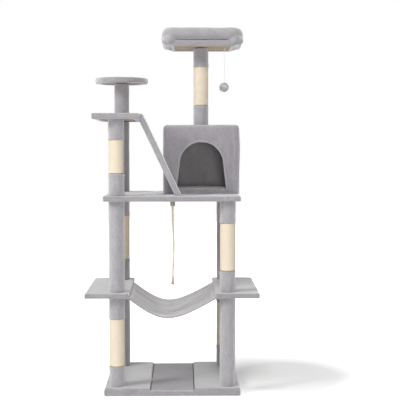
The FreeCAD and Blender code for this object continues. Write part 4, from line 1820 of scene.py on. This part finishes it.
@dataclass
class RopeToy:
    """A twisted cotton rope with a stopper knot above and a frayed tassel below."""

    strand_share: float = 0.54
    lay_length: float = 0.034
    fibres: int = 110
    fibre_radius: float = 0.00042

    def route(self, top: Vector, foot: Vector) -> list[Vector]:
        """Run the rope straight out of its knot, with a slight lean.

        Args:
            top: where it starts.
            foot: where it ends.

        Returns:
            Its control points.
        """
        fall = top.z - foot.z
        sways = {0: (0, 0), 0.1: (0, 0), 0.25: (0.0015, 0.0005), 0.42: (0.004, -0.001), 0.6: (0.005, 0.001),
                 0.78: (0.002, 0.001), 0.92: (0, 0), 1: (0, 0)}
        return [top + Vector((x, y, -fall * share)) for share, (x, y) in sways.items()]

    def strands(self, line: list[Vector], radius: float) -> list[list[Vector]]:
        """Lay three strands round a line.

        Args:
            line: the rope's own line.
            radius: the rope's radius.

        Returns:
            The points of each strand.
        """
        travelled = [0.0]
        for here, after in zip(line, line[1:]):
            travelled.append(travelled[-1] + (after - here).length)
        total, step = travelled[-1], 0.0012
        offset = radius * (1 - self.strand_share)
        made = []
        for index in range(3):
            points, segment, travel = [], 0, 0.0
            while travel <= total:
                while segment < len(line) - 2 and travelled[segment + 1] < travel:
                    segment += 1
                share = (travel - travelled[segment]) / (travelled[segment + 1] - travelled[segment])
                here = line[segment].lerp(line[segment + 1], share)
                turn = math.tau * (travel / self.lay_length + index / 3)
                points.append(here + polar(offset, turn))
                travel += step
            made.append(points)
        return made

    def fringe(self, low: Vector, high: Vector) -> list[list[Vector]]:
        """The tassel's loose fibres.

        Args:
            low: the tassel's lowest corner.
            high: its highest corner.

        Returns:
            The points of each fibre.
        """
        top = Vector(((low.x + high.x) / 2, (low.y + high.y) / 2, high.z))
        length, reach = high.z - low.z, (high.x - low.x) / 2
        made = []
        for index in range(self.fibres):
            turn = index * 2.39996
            share = math.sqrt((index + 0.5) / self.fibres)
            own = 0.5 + 0.5 * noise.noise(Vector((index * 3.7, 1.5, 8.2)))
            points = []
            for step in range(7):
                fall = step / 6
                spread = share * (0.0046 + (reach - 0.0052) * smooth_step(0, 1, fall) ** 0.8)
                sway = 0.0010 * math.sin(fall * 6 + index)
                turned = turn + 0.5 * fall
                down = fall * (length + 0.001) * (0.82 + 0.16 * own)
                points.append(top + Vector((sway, 0, 0.002)) + polar(spread, turned, -down))
            made.append(points)
        return made

    def build(self) -> list[Thing]:
        """Make the rope, its knot, its tassel and the collar above.

        Returns:
            The pieces.
        """
        middle, size, low = span("toy_rope")
        top = Vector((middle.x, middle.y, low.z + size.z))
        foot = Vector((middle.x, middle.y, low.z))
        radius = size.x / 2
        route = routed(self.route(top + UP * 0.001, foot - UP * 0.001))
        line = line_of(route)
        bpy.data.objects.remove(route)
        data = cords_mesh("toy_rope", self.strands(line, radius), radius * self.strand_share, 3)
        rope = piece("twisted_toy_rope", data, COTTON, "cotton_rope", "toy_rope", body=ROPE_BODY)
        data = knot_mesh("rope_knot", 3)
        knot = piece("rope_stopper_knot", data, COTTON, "cotton_rope", "rope_knot", body=ROPE_LINK)
        data = cords_mesh("fringe", self.fringe(*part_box("rope_tassel")), self.fibre_radius, 0)
        fringe = piece("rope_frayed_tassel", data, COTTON, "cotton_rope", "rope_tassel", body=ROPE_BODY)
        collar_middle, collar_size, collar_low = span("rope_collar")
        mesh = ring_mesh(collar_size, 0.0046, 0.0022, 40)
        ribs = [collar_size.z * share for share in (0.42, 0.46, 0.5)]
        cross_cut(mesh, 2, *ribs)
        for vert in mesh.verts:
            if abs(vert.co.z - ribs[1]) < 1e-5 and vert.co.xy.length > collar_size.x / 2 - 1e-4:
                vert.co.xy *= 0.94
        lift(mesh, Vector((collar_middle.x, collar_middle.y, collar_low.z)))
        collar = piece("rope_plastic_collar", mesh, COLLAR_PLASTIC, "collar_plastic", "rope_collar")
        return [rope, knot, fringe, collar]


@dataclass
class PompomToy:
    """A fluffy ball on a thin white string."""

    core_share: float = 0.80
    lumps: float = 0.10
    tuft: float = 0.0052
    tip_share: float = 0.30

    def ball(self, middle: Vector, radius: float) -> Mesh:
        """A core with a tuft drawn out of each of its faces.

        Args:
            middle: the ball's middle.
            radius: its radius with its fluff.

        Returns:
            Its mesh, in place.
        """
        mesh = bmesh.new()
        bmesh.ops.create_icosphere(mesh, subdivisions=5, radius=radius * self.core_share)
        for vert in mesh.verts:
            vert.co *= 1 + self.lumps * noise.noise(vert.co * 95)
        mesh.normal_update()
        tips = bmesh.ops.extrude_discrete_faces(mesh, faces=mesh.faces[:])["faces"]
        for index, face in enumerate(tips):
            outward = face.calc_center_median().normalized()
            bent = noise.noise_vector(outward * 23 + Vector((index % 7, 0, 0))) * 0.5
            reach = self.tuft * (0.55 + 0.45 * noise.noise(outward * 61 + Vector((0, index % 5, 0))))
            centre = face.calc_center_median()
            for vert in face.verts:
                vert.co = centre + (vert.co - centre) * self.tip_share + (outward + bent) * reach
        lift(mesh, middle)
        return mesh

    def build(self) -> list[Thing]:
        """Make the ball, its string, its knot and its anchor.

        Returns:
            The pieces.
        """
        middle, size, _ = span("pompom")
        ball = self.ball(middle, size.x / 2)
        ball = piece("fluffy_pompom", ball, FLUFF, "pompom_plush", "pompom", body=POMPOM_BODY)
        string_middle, string_size, string_low = span("pompom_string")
        top = Vector((string_middle.x, string_middle.y, string_low.z + string_size.z))
        # the string runs half a millimetre into its knot and into the ball
        sways = {0.0: 0.0, 0.12: 0.0, 0.35: 0.0007, 0.62: 0.0009, 0.85: 0.0003, 1.0: 0.0}
        fall = string_size.z + 0.001
        points = [top + Vector((sway, 0, 0.0005 - fall * share)) for share, sway in sways.items()]
        string = routed(points, "white_pompom_string")
        string.data.bevel_depth = string_size.x / 2
        string.data.bevel_resolution = 2
        string.data.use_fill_caps = True
        string.data.materials.append(WARDROBE.get(WHITE_STRING))
        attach(string, POMPOM_BODY)
        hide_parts("pompom_string")
        data = knot_mesh("pompom_knot", 1)
        knot = piece(
            "pompom_string_knot", data, WHITE_STRING, "white_string", "pompom_knot", body=POMPOM_LINK
        )
        anchor_middle, anchor_size, anchor_low = span("pompom_anchor")
        mesh = ring_mesh(anchor_size, 0.0009, 0.0009, 28, 3)
        lift(mesh, Vector((anchor_middle.x, anchor_middle.y, anchor_low.z)))
        anchor = piece("pompom_eyelet", mesh, STEEL, "zinc_steel", "pompom_anchor")
        return [ball, string, knot, anchor]


# ---- stage --------------------------------------------------------------------------


@dataclass(frozen=True)
class Lamp:
    """A square soft lamp: where it is, its side in metres and its power in watts."""

    name: str
    place: tuple[float, float, float]
    size: float
    power: float


LAMPS = [
    Lamp("key", (-5.6, -2.9, 4.4), 1.8, 250.0),
    Lamp("front", (-0.4, -5.6, 6.6), 2.4, 178.0),
    Lamp("low front", (0.4, -8.5, 0.9), 1.6, 216.0),
    Lamp("top", (0.3, -1.0, 6.5), 3.0, 60.0),
    Lamp("back", (0.8, 5.5, 5.5), 3.0, 100.0),
]


@dataclass
class Studio:
    """A white floor, soft lamps and the camera."""

    place: tuple[float, float, float] = (0.04896, -4.15789, 1.09355)
    pitch: float = 86.6126
    turn: float = -1.0718
    lens: float = 80.55
    aim: tuple[float, float, float] = (0.0, 0.0, 0.8)
    fill: float = 0.38
    near_glow: float = 0.10
    mid_glow: float = 0.62
    shadow_centre: tuple[float, float, float] = (0.55, 0.06, 0.0)
    shadow_stretch: tuple[float, float, float] = (2.1, 2.0, 1.0)

    def floor(self) -> None:
        """A pale floor, white to the camera, that keeps the soft shadow."""
        mesh = bmesh.new()
        bmesh.ops.create_grid(mesh, x_segments=2, y_segments=2, size=9.0)
        data = poured(mesh, "studio_floor")
        graph = Graph("studio_floor")
        # the shadow shows beside the tree, where the floor glows least
        beside = graph.far(self.shadow_centre, self.shadow_stretch)
        near = graph.stretch(beside, 0.5, 1.0, self.near_glow, self.mid_glow)
        rest = graph.stretch(graph.far(), 0.7, 1.9, 0.0, 1.0 - self.mid_glow)
        glow = graph.math("MULTIPLY", graph.seen(), graph.math("ADD", near, rest))
        graph.finish(
            (0.84, 0.84, 0.84, 1.0), 0.9, Specular_IOR_Level=0.0, Emission_Color=WHITE, Emission_Strength=glow
        )
        data.materials.append(graph.material)
        made = placed("studio_floor", data)
        made.location.z = -0.0005

    def world(self) -> None:
        """White all round for the camera, and a plain soft fill for the tree."""
        world = bpy.data.worlds.new("studio")
        bpy.context.scene.world = world
        graph = Graph("studio", world)
        level = graph.stretch(graph.seen(), 0.0, 1.0, self.fill, 1.0)
        graph.feed(graph.shader, {"Color": WHITE, "Strength": level})

    def light(self, lamp: Lamp) -> None:
        """Hang a lamp, pointed at the tree.

        Args:
            lamp: the lamp.
        """
        data = bpy.data.lights.new(lamp.name, "AREA")
        data.size = lamp.size
        data.energy = lamp.power
        made = placed(lamp.name, data)
        made.location = lamp.place
        made.rotation_euler = (Vector(self.aim) - made.location).to_track_quat("-Z", "Y").to_euler()

    def camera(self) -> None:
        """The camera, level with the deck."""
        data = bpy.data.cameras.new("camera")
        data.lens = self.lens
        data.sensor_width = 36.0
        data.clip_end = 60.0
        made = placed("camera", data)
        made.location = self.place
        made.rotation_euler = (math.radians(self.pitch), 0, math.radians(self.turn))
        bpy.context.scene.camera = made

    def build(self) -> None:
        """Set up the stage."""
        scene = bpy.context.scene
        scene.view_settings.view_transform = "Standard"
        self.camera()
        self.floor()
        self.world()
        for lamp in LAMPS:
            self.light(lamp)


# ---- the tree -----------------------------------------------------------------------

STAY = {
    CHIP_BOARD: ["base_board", "left_hammock_board", "right_hammock_board", "deck_board", "perch_board",
                 "round_perch_board", "ramp_board", "house_floor_board", "house_roof_board", "bed_board"],
    FIBRE_BOARD: ["house_front_wall", "house_back_wall", "house_left_wall", "house_right_wall"],
    CARDBOARD: ["long_post_tubes", "upper_post_tubes"],
    PLUG_WOOD: ["tube_end_plugs"],
    STEEL: ["connecting_studs", "wood_screws"],
}

BANDED = {"front_left_lower", "back_right_lower", "front_right_middle", "back_left_middle",
          "front_left_upper", "bed"}
# each post, and the direction that its sewn seam faces
SEAMS = {
    "front_left_lower": 2.4, "front_right_lower": 1.0, "back_left_lower": 1.9, "back_right_lower": 0.9,
    "front_left_middle": 2.2, "front_right_middle": 0.8, "back_left_middle": 1.7, "back_right_middle": 1.2,
    "front_left_upper": 2.0, "back_left_upper": 1.6, "top_left": 1.8, "bed": 1.5,
}


def dress_frame() -> None:
    """Give the nodes that stay shown their materials."""
    for finish, nodes in STAY.items():
        for node in nodes:
            data = FRAME["nodes"][node].data
            data.materials.clear()
            data.materials.append(WARDROBE.get(finish))


def main() -> None:
    """Build the tree's looks, one sub-assembly after another."""
    Studio().build()
    dress_frame()
    parts = [
        RopeToy(),
        PompomToy(),
        Base(),
        CoveredBoard("left_hammock", 5.0),
        CoveredBoard("right_hammock", 6.5),
        CoveredBoard("deck", 8.0, ("front_right_middle", "back_right_middle")),
        CoveredBoard("perch", 11.0, ("front_left_upper",)),
        RoundPerch("round_perch", 13.0),
        CoveredBoard("bed", 15.0, hem=0.016),
        *[Post(name, seam, 20.0 + seam * 7, name in BANDED) for name, seam in SEAMS.items()],
        Fasteners(),
        Hammock(),
        Ramp(),
        House(),
        Bed(),
    ]
    for part in parts:
        for made in part.build():
            count = len(made.data.polygons) if made.type == "MESH" else 0
            LOG.info("%s: %d faces", made.name, count)


if __name__ == "__main__":
    logging.basicConfig(level=logging.INFO, format="%(message)s")
    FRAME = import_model()
    main()
